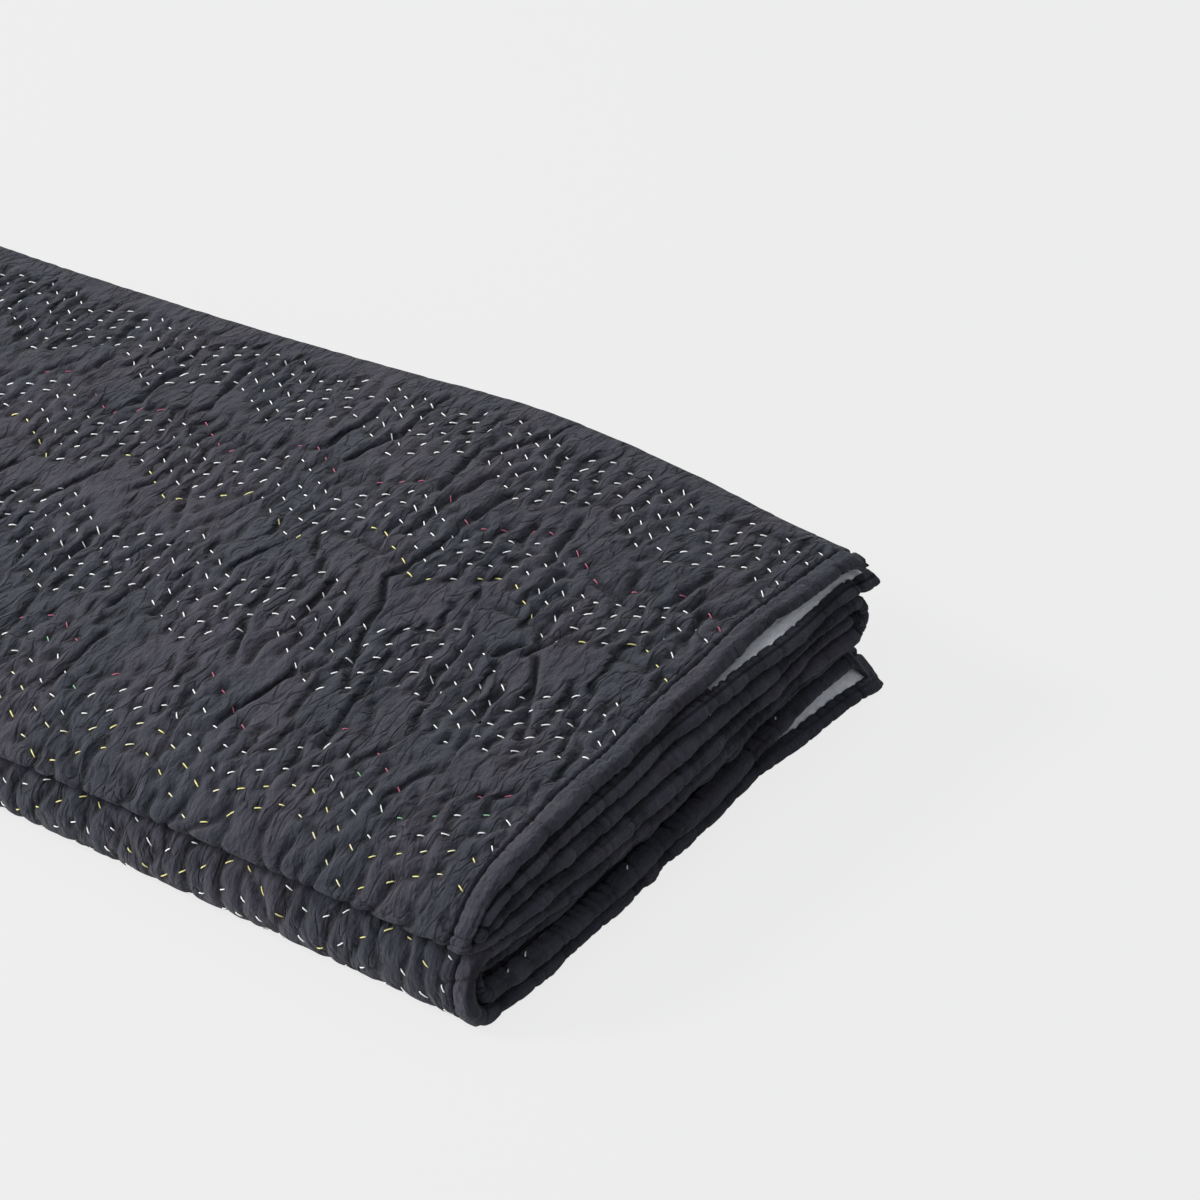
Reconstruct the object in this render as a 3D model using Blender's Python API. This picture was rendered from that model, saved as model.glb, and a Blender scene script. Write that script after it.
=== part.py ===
"""A kantha quilt folded into a soft pile.

The quilt is one sheet: a dark face cloth and a pale reverse cloth, quilted together with rows of
running stitch, with a hem stitched down all round.  It is folded in half along X, reverse inside,
so that the crease is at the left end and both hems are at the right end.  The doubled cloth then
goes back and forth in four passes, which gives eight layers, a little apart.

X runs along the pile, Y from its front folds to its back edges, Z up.  Lengths are in metres.
"""
import math

import bmesh
import bpy

# ---- driving dimensions -------------------------------------------------------------------------
QUILT_LENGTH = 2.00            # folded in half along X
QUILT_WIDTH = 1.50             # folded back and forth along Y
PASSES = 4
LAYER = 0.0085                 # one thickness of the quilt, puckers included
GAP = 0.0018                   # air between two layers

HEM = 0.013                    # from the edge to the row that holds the hem down
HEM_GROOVE = 0.0012            # how deep that row pulls the cloth in
HEM_GROOVE_HALF = 0.0035
SIDE_ROUND = 0.0035            # the side hems are round over this width
SIDE_EDGE_FULLNESS = 0.40      # and this much of the full thickness is left at their edge

ZIGZAG_PERIOD = 0.090          # of the quilting rows, along X
ZIGZAG_START = 0.041           # from the right edge to the first point that is furthest back
ZIGZAG_SWING = 0.0150          # half of their width across the cloth
BAND_PITCH = 0.090             # one stitched band and one plain band
FIRST_PUFF = 0.097             # from the back edge to the middle of the first plain band
PUFF = 0.0013                  # how far a plain band stands over a stitched one, each way
HEM_FADE = 0.030               # the quilting starts over this width inside a hem
FOLD_FADE = 0.050              # and dies away over this width at a fold

LENGTH = QUILT_LENGTH / 2
LAYERS = 2 * PASSES
STACK = LAYERS * LAYER + (LAYERS - 1) * GAP
PASS_RISE = 2 * (LAYER + GAP)  # from the middle of one doubled pass to the next
NOSE = 2 * LAYER + 1.5 * GAP   # outer radius of a fold
FOLDS = PASSES - 1
CREASE_PLACE = LENGTH - LAYER  # where the doubled cloth starts to turn at the left crease
# The depth at which the doubled cloth's middle is as long as the quilt is wide.
DEPTH = (QUILT_WIDTH + FOLDS * (2 * NOSE - math.pi * PASS_RISE / 2)) / PASSES

# ---- how the pile is uneven ---------------------------------------------------------------------
# Height of the top of the pile across its depth, at the right end.
CROSS_HEIGHT = (
    # from the front, height
    (0.000, 0.052),
    (0.012, 0.059),
    (0.027, 0.068),
    (0.045, 0.076),
    (0.064, 0.080),
    (0.119, 0.083),
    (0.174, 0.086),
    (0.230, 0.088),
    (0.290, 0.090),
    (0.345, 0.090),
    (0.380, 0.088),
)
# How that height changes along the pile, at its front folds and at its back edges.
ALONG = (
    # from the right end, at the front, at the back
    (0.000, 1.00, 1.05),
    (0.060, 1.00, 1.09),
    (0.120, 0.98, 1.15),
    (0.220, 0.92, 1.19),
    (0.330, 0.84, 1.09),
    (0.450, 0.80, 0.96),
    (0.640, 0.78, 0.86),
    (0.820, 0.76, 0.80),
    (1.000, 0.73, 0.76),
)
ALONG_DEPTH = 0.266            # from the front to where the back's heights hold
FRONT_CREASE = 0.046           # height of the crease between the two front folds, at the right end
CREASE_DEPTH = 0.090           # how far in from the front the two bundles stay uneven
FRONT_SAG = 0.0045             # a front fold hangs forward at its foot, and back at its head
FRONT_SAG_DEPTH = 0.055
UPPER_SETBACK = 0.004          # the upper front fold lies behind the lower one

# Where two layers stand apart near the back right corner.
MOUTHS = (
    # layers, opening, starts at, full at, narrows from, share left at the back edge, length
    ("top", 0.012, 0.190, 0.290, 0.340, 0.15, 0.160),
    ("low", 0.011, 0.220, 0.310, 0.345, 0.08, 0.140),
)

# How far each layer's hem stands out to the right at five places across the depth.
REACH = (
    # chain, pass, front, a quarter, middle, three quarters, back
    ("outer", 1, 0.000, -0.001, 0.000, 0.000, 0.000),
    ("inner", 1, 0.001, 0.003, 0.003, 0.004, 0.007),
    ("inner", 2, 0.002, 0.006, 0.007, 0.006, 0.004),
    ("outer", 2, 0.002, 0.010, 0.012, 0.009, 0.004),
    ("outer", 3, 0.001, 0.009, 0.011, 0.008, 0.004),
    ("inner", 3, 0.000, 0.003, 0.004, 0.003, 0.003),
    ("inner", 4, 0.004, 0.015, 0.017, 0.016, 0.011),
    ("outer", 4, 0.004, 0.013, 0.015, 0.015, 0.013),
)
SIDE_REACH = 0.005             # the inner chain's side hems stand out past the outer chain's
SIDE_REACH_DEPTH = 0.050
REACH_LENGTH = 0.200           # the layers slide past each other over this length
EDGE_WAVE = 0.0007             # the hems run in and out by this much
EDGE_WAVE_LENGTH = 0.083
WAVE_PER_PASS = 2.4            # how far the wave of one pass is out of step with the next, radians
WAVE_PER_CHAIN = 0.9

# Broad rises and hollows of the top layer.
SWELLS = (
    # from the right end, from the front, half length, half depth, height
    (0.075, 0.150, 0.050, 0.035, -0.0022),
    (0.150, 0.235, 0.065, 0.030, 0.0024),
    (0.235, 0.120, 0.055, 0.040, 0.0020),
    (0.310, 0.215, 0.060, 0.035, -0.0020),
    (0.395, 0.130, 0.050, 0.040, 0.0018),
    (0.480, 0.260, 0.070, 0.040, 0.0022),
    (0.600, 0.160, 0.070, 0.045, -0.0020),
    (0.760, 0.230, 0.080, 0.050, 0.0020),
)

# ---- how finely the cloth is divided ------------------------------------------------------------
TOP_STEP = BAND_PITCH / 4      # across the top layer
PASS_STEPS = 9                 # across each lower pass
NOSE_STEPS = 8                 # round a fold
FINE_STEP = ZIGZAG_PERIOD / 2  # along the outer chain
COARSE_START = 0.050           # from the right edge
COARSE_STEPS = 7               # from there along every other side
CREASE_STEPS = 4               # round the left crease
TIP_STEPS = 4                  # round a hem's edge

FACE_COLOR = (0.052, 0.054, 0.066, 1.0)


def smooth(t):
    """Rise from 0 to 1 with no corner at either end."""
    t = min(1.0, max(0.0, t))
    return t * t * (3 - 2 * t)


def curve(rows, x, column=1):
    """Read a smooth curve through a table's rows at x."""
    last = len(rows) - 1
    if x <= rows[0][0]:
        return rows[0][column]
    if x >= rows[last][0]:
        return rows[last][column]
    i = next(k for k in range(last) if x <= rows[k + 1][0])
    span = rows[i + 1][0] - rows[i][0]
    t = (x - rows[i][0]) / span
    slope = []
    for k in (i, i + 1):
        before, after = rows[max(k - 1, 0)], rows[min(k + 1, last)]
        slope.append((after[column] - before[column]) / (after[0] - before[0]) * span)
    a, b = rows[i][column], rows[i + 1][column]
    return (a * (2 * t**3 - 3 * t**2 + 1) + b * (3 * t**2 - 2 * t**3)
            + slope[0] * (t**3 - 2 * t**2 + t) + slope[1] * (t**3 - t**2))


def zigzag(x):
    """The quilting rows' place across the cloth: a triangle wave along X."""
    phase = ((x - ZIGZAG_START) / ZIGZAG_PERIOD) % 1.0
    return ZIGZAG_SWING * (4 * abs(phase - 0.5) - 1)


# ---- the pile's heights -------------------------------------------------------------------------
def along(from_right, from_front):
    """How the height scales along the pile."""
    front = curve(ALONG, from_right, 1)
    back = curve(ALONG, from_right, 2)
    return front + (back - front) * smooth(from_front / ALONG_DEPTH)


def mouth(name, from_right, from_front, hangs):
    """The opening between two layers near the back right corner.

    The layer over it hangs down to the one below at the back edge, and those above it don't.
    """
    opening, start, full, narrows, share, length = next(m for m in MOUTHS if m[0] == name)[1:]
    rise = smooth((from_front - start) / (full - start))
    fall = 1 - (1 - share) * smooth((from_front - narrows) / (DEPTH - narrows)) if hangs else 1.0
    return opening * rise * fall * smooth(1 - from_right / length)


def swell(from_right, from_front):
    """The broad rises and hollows of the top."""
    total = 0.0
    for right, front, half_length, half_depth, height in SWELLS:
        r = math.hypot((from_right - right) / half_length, (from_front - front) / half_depth)
        total += height * math.exp(-r * r)
    return total


def pile_height(z, chain, turn, from_right, from_front):
    """Carry a height in the even stack to its place in the uneven pile.

    turn counts the passes from the top, 1 to 4, and lies between two of them round a fold.
    """
    scale = along(from_right, from_front)
    low_mouth = mouth("low", from_right, from_front, False)
    top_mouth = mouth("top", from_right, from_front, False)
    top = curve(CROSS_HEIGHT, from_front) * scale + swell(from_right, from_front)
    stack = top - low_mouth - top_mouth
    crease = FRONT_CREASE * scale
    middle = crease + (0.5 * stack - crease) * smooth(from_front / CREASE_DEPTH)
    half = STACK / 2
    if z < half:
        z = z / half * middle
    else:
        z = middle + (z - half) / half * (stack - middle)
    bottom_pass = turn > PASSES - 0.5
    if not bottom_pass:
        z += low_mouth
    elif chain == "inner":
        z += mouth("low", from_right, from_front, True)
    if chain == "outer" and turn < 1.5:
        z += mouth("top", from_right, from_front, True)
    return z


def front_sag(z, turn, from_front):
    """How far a front fold's cloth moves in or out as its bundle of two passes sags."""
    upper = turn < 2.5
    foot = STACK / 2 if upper else 0.0
    setback = UPPER_SETBACK if upper else 0.0
    share = (z - foot) / (STACK / 2)
    return (setback + FRONT_SAG * (2 * share - 1)) * smooth(1 - from_front / FRONT_SAG_DEPTH)


def reach(chain, turn, from_front):
    """How far a hem stands out at the right end."""
    low = min(int(turn), PASSES)
    high = min(low + 1, PASSES)
    found = []
    for number in (low, high):
        values = next(row[2:] for row in REACH if row[:2] == (chain, number))
        places = [DEPTH * k / (len(values) - 1) for k in range(len(values))]
        found.append(curve(list(zip(places, values)), from_front))
    value = found[0] + (found[1] - found[0]) * (turn - low)
    phase = WAVE_PER_PASS * turn + (WAVE_PER_CHAIN if chain == "inner" else 0.0)
    return value + EDGE_WAVE * math.sin(2 * math.pi * from_front / EDGE_WAVE_LENGTH + phase)


# ---- the path of the doubled cloth ----------------------------------------------------------------
def cloth_path():
    """Stations down the doubled cloth, from the top back edge to the bottom back edge.

    Each is a place (y, z) halfway between the two chains, the way (y, z) from there to the outer
    chain, the turn, for the top pass the distance from its back edge, and the cloth's fullness.
    """
    stations = []
    radius = PASS_RISE / 2
    for number in range(1, PASSES + 1):
        z = STACK - LAYER - GAP / 2 - (number - 1) * PASS_RISE
        toward_front = number % 2 == 1
        has_side_hem = number in (1, PASSES)
        back_end = DEPTH if has_side_hem else DEPTH - NOSE
        start, stop = (back_end, NOSE) if toward_front else (NOSE, back_end)
        out = 1.0 if toward_front else -1.0
        if number == 1:
            count = math.ceil((start - stop) / TOP_STEP)
            places = [start - TOP_STEP * k for k in range(count)] + [stop]
            places.insert(1, DEPTH - SIDE_ROUND)
        else:
            places = [start + (stop - start) * k / PASS_STEPS for k in range(PASS_STEPS + 1)]
        if number == PASSES:
            places.insert(-1, DEPTH - SIDE_ROUND)
        for y in places:
            edge = DEPTH - y if number == 1 else None
            full = SIDE_EDGE_FULLNESS if y == DEPTH else 1.0
            stations.append(((y, z), (0.0, out), float(number), edge, full))
        if number < PASSES:
            side = -1.0 if toward_front else 1.0
            for k in range(1, NOSE_STEPS):
                angle = math.pi * k / NOSE_STEPS
                y = stop + side * radius * math.sin(angle)
                drop = z - radius + radius * math.cos(angle)
                way = (side * math.sin(angle), math.cos(angle))
                way = (way[0] * out, way[1] * out)
                stations.append(((y, drop), way, number + k / NOSE_STEPS, None, 1.0))
    return stations


def half_thickness(from_edge):
    """Half of the cloth's thickness on its face side, with the groove of the hem's row."""
    if from_edge < HEM + HEM_GROOVE_HALF:
        groove = 1 - abs(from_edge - HEM) / HEM_GROOVE_HALF
        return LAYER / 2 - HEM_GROOVE * max(0.0, groove)
    return LAYER / 2


def side_places(fine):
    """Distances from the right edge at which a long side has points, from the hem inwards."""
    near = [LAYER / 2, HEM - HEM_GROOVE_HALF, HEM, HEM + HEM_GROOVE_HALF]
    if fine:
        count = int((CREASE_PLACE - FINE_STEP / 2) / FINE_STEP)
        far = [FINE_STEP * k for k in range(1, count + 1)] + [CREASE_PLACE]
    else:
        step = (CREASE_PLACE - COARSE_START) / COARSE_STEPS
        far = [COARSE_START + step * k for k in range(COARSE_STEPS + 1)]
    return near + far


def profile(full):
    """The closed outline of the doubled cloth at one station.

    Its points are (chain, distance from the right edge, distance off the middle of the doubled
    cloth).  They run from the outer chain's hem to the left crease, back along the inner chain,
    and then along the two reverse sides.  full is the cloth's fullness, less than 1 at a side hem.
    """
    middle = (GAP + LAYER) / 2
    half = full * LAYER / 2
    outer_far = middle + half
    points = []
    for place in side_places(True):
        points.append(("outer", place, middle + full * half_thickness(place)))
    for k in range(1, CREASE_STEPS):
        angle = math.pi * k / CREASE_STEPS
        across = math.cos(angle)
        chain = "outer" if across >= 0 else "inner"
        points.append((chain, CREASE_PLACE + outer_far * math.sin(angle), outer_far * across))
    for place in reversed(side_places(False)):
        points.append(("inner", place, -middle - full * half_thickness(place)))
    points += hem_tip("inner", -middle, full)
    for place in side_places(False)[1:]:
        points.append(("inner", place, -middle + half))
    points.append(("inner", CREASE_PLACE + middle - half, 0.0))
    for place in reversed(side_places(False)[1:]):
        points.append(("outer", place, middle - half))
    points += hem_tip("outer", middle, full)
    return points


def hem_tip(chain, middle, full):
    """The round edge of a hem at the right end, from its lower side to its upper side."""
    radius = LAYER / 2
    points = []
    for k in range(1, TIP_STEPS):
        angle = math.pi * k / TIP_STEPS
        off = middle - full * radius * math.cos(angle)
        points.append((chain, radius * (1 - math.sin(angle)), off))
    return points


def quilt_points():
    """Every point of the quilt, one list for each station."""
    middle = (GAP + LAYER) / 2
    rings = []
    for (y, z), way, turn, edge, full in cloth_path():
        ring = []
        for chain, from_right, off in profile(full):
            top_side = edge is not None and off > middle
            across = y
            if chain == "inner" and turn in (1.0, float(PASSES)):
                across += SIDE_REACH * smooth(1 - (DEPTH - y) / SIDE_REACH_DEPTH)
            if top_side:
                across += zigzag(from_right) * quilted(from_right, edge)
            py = across + way[0] * off
            pz = z + way[1] * off
            py += front_sag(pz, turn, py)
            pz = pile_height(pz, chain, turn, from_right, py)
            if top_side:
                band = math.cos(2 * math.pi * (edge - FIRST_PUFF) / BAND_PITCH)
                pz += PUFF * band * quilted(from_right, edge)
            slide = reach(chain, turn, py) * smooth(1 - from_right / REACH_LENGTH)
            ring.append((-from_right + slide, py, pz))
        rings.append(ring)
    return rings


def quilted(from_right, edge):
    """1 where the top is quilted, falling to 0 at its hems, its front fold and the left crease."""
    right_end = smooth((from_right - HEM) / HEM_FADE)
    left_end = smooth((CREASE_PLACE - from_right) / FOLD_FADE)
    back = smooth((edge - HEM) / HEM_FADE)
    front = smooth((DEPTH - NOSE - edge) / FOLD_FADE)
    return right_end * left_end * back * front


def build_quilt():
    """Skin the stations, close both ends and set the origin under the middle of the box."""
    rings = quilt_points()
    lows = [min(p[i] for ring in rings for p in ring) for i in range(3)]
    highs = [max(p[i] for ring in rings for p in ring) for i in range(3)]
    middle = ((lows[0] + highs[0]) / 2, (lows[1] + highs[1]) / 2, lows[2])
    model = bmesh.new()
    grid = []
    for ring in rings:
        grid.append([model.verts.new([p[i] - middle[i] for i in range(3)]) for p in ring])
    for here, there in zip(grid, grid[1:]):
        count = len(here)
        for k in range(count):
            model.faces.new((here[k], here[(k + 1) % count], there[(k + 1) % count], there[k]))
    for ring in (grid[0], grid[-1]):
        model.faces.new(ring)
    bmesh.ops.recalc_face_normals(model, faces=model.faces)
    bmesh.ops.triangulate(model, faces=model.faces)
    mesh = bpy.data.meshes.new("quilt")
    model.to_mesh(mesh)
    model.free()
    mesh.shade_smooth()
    return mesh


def cotton():
    """The washed cotton of the face."""
    material = bpy.data.materials.new("cotton")
    material.use_nodes = True
    shader = material.node_tree.nodes["Principled BSDF"]
    shader.inputs["Base Color"].default_value = FACE_COLOR
    shader.inputs["Roughness"].default_value = 0.95
    shader.inputs["Metallic"].default_value = 0.0
    return material


def main():
    for old in list(bpy.data.objects):
        bpy.data.objects.remove(old)
    mesh = build_quilt()
    mesh.materials.append(cotton())
    quilt = bpy.data.objects.new("quilt", mesh)
    bpy.context.scene.collection.objects.link(quilt)


main()
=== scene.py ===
"""The looks of a kantha quilt folded into a soft pile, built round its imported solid.

The quilt is one doubled cloth that goes back and forth in four passes.  It is skinned as rings of
points round the doubled cloth, one ring for each station down its path.  Places on the cloth are
given as u, from the right edge along the pile, and v, down the path from the top back edge.
Lengths are in metres, but for the long creases, which are in mm.
"""
import math

import bpy
import numpy as np
from mathutils import Matrix, Vector

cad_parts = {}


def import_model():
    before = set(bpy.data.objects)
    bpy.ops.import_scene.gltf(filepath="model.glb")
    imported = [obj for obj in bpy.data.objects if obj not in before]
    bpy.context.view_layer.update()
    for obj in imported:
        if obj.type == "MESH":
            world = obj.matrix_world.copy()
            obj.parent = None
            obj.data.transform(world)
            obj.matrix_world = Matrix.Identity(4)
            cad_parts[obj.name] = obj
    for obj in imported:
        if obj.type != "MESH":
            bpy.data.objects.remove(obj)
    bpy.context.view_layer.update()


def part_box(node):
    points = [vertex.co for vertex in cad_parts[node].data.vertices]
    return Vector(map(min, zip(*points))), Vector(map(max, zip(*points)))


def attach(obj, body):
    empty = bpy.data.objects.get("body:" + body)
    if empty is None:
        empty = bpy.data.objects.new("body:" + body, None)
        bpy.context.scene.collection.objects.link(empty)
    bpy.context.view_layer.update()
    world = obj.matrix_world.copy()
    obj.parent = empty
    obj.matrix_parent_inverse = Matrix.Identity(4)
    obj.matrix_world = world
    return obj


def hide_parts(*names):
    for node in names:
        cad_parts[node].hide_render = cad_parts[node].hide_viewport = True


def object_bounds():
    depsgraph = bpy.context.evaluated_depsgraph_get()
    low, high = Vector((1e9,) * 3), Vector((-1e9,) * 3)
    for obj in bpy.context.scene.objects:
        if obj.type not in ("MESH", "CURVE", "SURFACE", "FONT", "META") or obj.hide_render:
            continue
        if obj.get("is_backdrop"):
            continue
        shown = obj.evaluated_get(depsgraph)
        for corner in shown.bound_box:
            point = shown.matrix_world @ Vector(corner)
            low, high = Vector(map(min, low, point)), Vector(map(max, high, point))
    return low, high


# ---- the pile, with the same sizes as the solid ---------------------------------------------------
QUILT_LENGTH = 2.00            # folded in half along X
QUILT_WIDTH = 1.50             # folded back and forth along Y
PASSES = 4
LAYER = 0.0085                 # one thickness of the quilt, puckers included
GAP = 0.0018                   # air between two layers
HEM = 0.013                    # from the edge to the row that holds the hem down

LAYERS = 2 * PASSES
STACK = LAYERS * LAYER + (LAYERS - 1) * GAP
PASS_RISE = 2 * (LAYER + GAP)
NOSE = 2 * LAYER + 1.5 * GAP   # outer radius of a fold
FOLDS = PASSES - 1
CREASE_PLACE = QUILT_LENGTH / 2 - LAYER
DEPTH = (QUILT_WIDTH + FOLDS * (2 * NOSE - math.pi * PASS_RISE / 2)) / PASSES
MIDDLE = (GAP + LAYER) / 2     # from the middle of the doubled cloth to the middle of a layer

# Height of the top of the pile across its depth, at the right end.
CROSS_HEIGHT = (
    # from the front, height
    (0.000, 0.052),
    (0.012, 0.059),
    (0.027, 0.068),
    (0.045, 0.076),
    (0.064, 0.080),
    (0.119, 0.083),
    (0.174, 0.086),
    (0.230, 0.088),
    (0.290, 0.090),
    (0.345, 0.090),
    (0.380, 0.088),
)
# How that height changes along the pile, at its front folds and at its back edges.
ALONG = (
    # from the right end, at the front, at the back
    (0.000, 1.00, 1.05),
    (0.060, 1.00, 1.08),
    (0.120, 0.98, 1.135),
    (0.220, 0.92, 1.17),
    (0.330, 0.84, 1.05),
    (0.450, 0.80, 0.93),
    (0.640, 0.78, 0.81),
    (0.820, 0.76, 0.80),
    (1.000, 0.73, 0.76),
)
ALONG_DEPTH = 0.266
FRONT_CREASE = 0.046           # height of the crease between the two front folds
CREASE_DEPTH = 0.090
FRONT_SAG = 0.0045
FRONT_SAG_DEPTH = 0.055
UPPER_SETBACK = 0.004
# Where two layers stand apart near the back right corner.
MOUTHS = {
    # opening, starts at, full at, narrows from, share left at the back edge, length
    "top": (0.0062, 0.218, 0.300, 0.366, 0.05, 0.165),
    "low": (0.012, 0.235, 0.335, 0.368, 0.10, 0.140),
}
# How far each layer's hem stands out to the right at five places across the depth.
REACH = (
    # inner chain, pass, front, a quarter, middle, three quarters, back
    (False, 1, 0.000, -0.001, 0.000, 0.000, 0.0075),
    (True, 1, 0.001, 0.003, 0.004, 0.0085, 0.0100),
    (True, 2, 0.002, 0.006, 0.008, 0.009, 0.0095),
    (False, 2, 0.002, 0.010, 0.012, 0.009, 0.009),
    (False, 3, 0.001, 0.009, 0.011, 0.009, 0.014),
    (True, 3, 0.000, 0.003, 0.004, 0.003, 0.009),
    (True, 4, 0.009, 0.013, 0.012, 0.009, 0.011),
    (False, 4, 0.011, 0.0125, 0.011, 0.0095, 0.0185),
)
# How far the back right corners of some layers hang down.
DROOP = (
    # inner chain, pass, drop
    (False, 1, 0.0015),
    (True, 1, 0.0040),
    (True, 4, 0.0120),
)
DROOP_LENGTH = 0.018
DROOP_DEPTH = 0.024
BULGE = 0.72                   # how much of an opening the pale side under it swells into
BULGE_START = 0.006            # from the edge
BULGE_FULL = 0.0175
SIDE_REACH = 0.005
SIDE_REACH_DEPTH = 0.050
REACH_LENGTH = 0.200
EDGE_WAVE = 0.0007
EDGE_WAVE_LENGTH = 0.083
WAVE_PER_PASS = 2.4
WAVE_PER_CHAIN = 0.9
# Broad rises and hollows of the top layer.
SWELLS = (
    # from the right end, from the front, half length, half depth, height
    (0.075, 0.150, 0.050, 0.035, -0.0022),
    (0.150, 0.235, 0.065, 0.030, 0.0024),
    (0.235, 0.120, 0.055, 0.040, 0.0020),
    (0.310, 0.215, 0.060, 0.035, -0.0020),
    (0.395, 0.130, 0.050, 0.040, 0.0018),
    (0.480, 0.260, 0.070, 0.040, 0.0022),
    (0.600, 0.160, 0.070, 0.045, -0.0020),
    (0.760, 0.230, 0.080, 0.050, 0.0020),
)

# ---- how finely the cloth is divided --------------------------------------------------------------
U_STEPS = 570                  # from the right edge to the left crease
V_STEP = 0.0032                # of the puckers, down the path
HEM_PLACES = (0.00425, 0.0056, 0.0070, 0.0084, 0.0098, 0.0110, 0.0118, 0.0124, 0.0130,
              0.0136, 0.0143, 0.0153, 0.0166, 0.0180, 0.0194)
FIRST_EVEN = 12                # the first even step past the hem's own places
FINE_TO = 0.75                 # from the right edge: past the photo's own edge
UNDER_NOSE = 12                # stations beside a front fold, inside the pile, that are still fine
CUT_AFTER = 28                 # stations into pass 2 where the two pieces meet
NEAR_REVERSE = 10              # the last of the reverse's places that are divided finely
HEM_TURN = 0.0082              # of the face cloth over the reverse
MOUTH_FROM = 0.232             # where the mouths start to show the pale cloth, from the front
PALE_INSIDE = 0.030            # how far in it starts between layers that lie close; the face colour carried that far over the reverse is painted shade in their narrow gaps
REVERSE_PLACES = (0.00425, 0.0056, 0.0070, 0.0082, 0.0084, 0.0097, 0.0115, 0.0142, 0.018,
                  0.027, 0.035, 0.047, 0.065, 0.090, 0.130, 0.200, 0.350, 0.550, 0.750, CREASE_PLACE)
HEM_STEP = 0.0006              # the turned hem stands proud of the reverse
TIP_STEPS = 8                  # round a hem's edge
TURN_STEPS = 12                # round the left crease
RIM = ((0.0000, 0.74), (0.0005, 0.88), (0.0017, 0.97))   # side hem: from the edge, fullness
RIM_FULL = 0.00425             # from the side edge to where it is full

DU = CREASE_PLACE / U_STEPS


def smooth(t):
    """Rise from 0 to 1 with no corner at either end."""
    t = np.clip(t, 0.0, 1.0)
    return t * t * (3 - 2 * t)


def curve(rows, x, column=1):
    """Read a smooth curve through a table's rows at x."""
    places = np.array([row[0] for row in rows], float)
    values = np.array([row[column] for row in rows], float)
    before = np.maximum(np.arange(len(places)) - 1, 0)
    after = np.minimum(np.arange(len(places)) + 1, len(places) - 1)
    slopes = (values[after] - values[before]) / (places[after] - places[before])
    x = np.clip(x, places[0], places[-1])
    i = np.clip(np.searchsorted(places, x) - 1, 0, len(places) - 2)
    span = places[i + 1] - places[i]
    t = (x - places[i]) / span
    a, b = values[i], values[i + 1]
    return (a * (2 * t**3 - 3 * t**2 + 1) + b * (3 * t**2 - 2 * t**3)
            + slopes[i] * span * (t**3 - 2 * t**2 + t) + slopes[i + 1] * span * (t**3 - t**2))


# ---- the pile's heights ---------------------------------------------------------------------------
def along(from_right, from_front):
    """How the height scales along the pile."""
    front = curve(ALONG, from_right, 1)
    back = curve(ALONG, from_right, 2)
    return front + (back - front) * smooth(from_front / ALONG_DEPTH)


def mouth(name, from_right, from_front, hangs):
    """The opening between two layers near the back right corner."""
    opening, start, full, narrows, share, length = MOUTHS[name]
    rise = smooth((from_front - start) / (full - start))
    fall = 1.0
    if hangs:
        fall = 1 - (1 - share) * smooth((from_front - narrows) / (DEPTH - narrows))
    return opening * rise * fall * smooth(1 - from_right / length)


def swell(from_right, from_front):
    """The broad rises and hollows of the top."""
    total = 0.0
    for right, front, half_length, half_depth, height in SWELLS:
        a = (from_right - right) / half_length
        b = (from_front - front) / half_depth
        total = total + height * np.exp(-a * a - b * b)
    return total


def pile_height(z, inner, turn, from_right, from_front):
    """Carry a height in the even stack to its place in the uneven pile."""
    scale = along(from_right, from_front)
    low_mouth = mouth("low", from_right, from_front, False)
    top_mouth = mouth("top", from_right, from_front, False)
    top = curve(CROSS_HEIGHT, from_front) * scale + swell(from_right, from_front)
    stack = top - low_mouth - top_mouth
    crease = FRONT_CREASE * scale
    middle = crease + (0.5 * stack - crease) * smooth(from_front / CREASE_DEPTH)
    half = STACK / 2
    lower = z / half * middle
    upper = middle + (z - half) / half * (stack - middle)
    z = np.where(z < half, lower, upper)
    bottom = turn > PASSES - 0.5
    z = z + np.where(bottom, 0.0, low_mouth)
    z = z + np.where(bottom & inner, mouth("low", from_right, from_front, True), 0.0)
    top_layer = (turn < 1.5) & ~inner
    return z + np.where(top_layer, mouth("top", from_right, from_front, True), 0.0)


def droop(inner, turn, from_right, from_front):
    """How far a corner hangs below the rest of its layer."""
    share = smooth(1 - from_right / DROOP_LENGTH) * smooth((from_front - DEPTH + DROOP_DEPTH) / DROOP_DEPTH)
    total = 0.0
    for row_inner, number, drop in DROOP:
        total = total + drop * share * (inner == row_inner) * (turn == number)
    return total


def bulge(inner, reverse, turn, from_right, from_front):
    """How far the pale side below an opening swells up into it."""
    rise = BULGE * smooth((from_right - BULGE_START) / (BULGE_FULL - BULGE_START))
    top = mouth("top", from_right, from_front, True) * (inner & (turn == 1.0))
    low = mouth("low", from_right, from_front, True) * (~inner & (turn == float(PASSES)))
    return rise * (top + low) * reverse


def front_sag(z, turn, from_front):
    """How far a front fold's cloth moves in or out as its bundle of two passes sags."""
    upper = turn < 2.5
    foot = np.where(upper, STACK / 2, 0.0)
    setback = np.where(upper, UPPER_SETBACK, 0.0)
    share = (z - foot) / (STACK / 2)
    return (setback + FRONT_SAG * (2 * share - 1)) * smooth(1 - from_front / FRONT_SAG_DEPTH)


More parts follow.
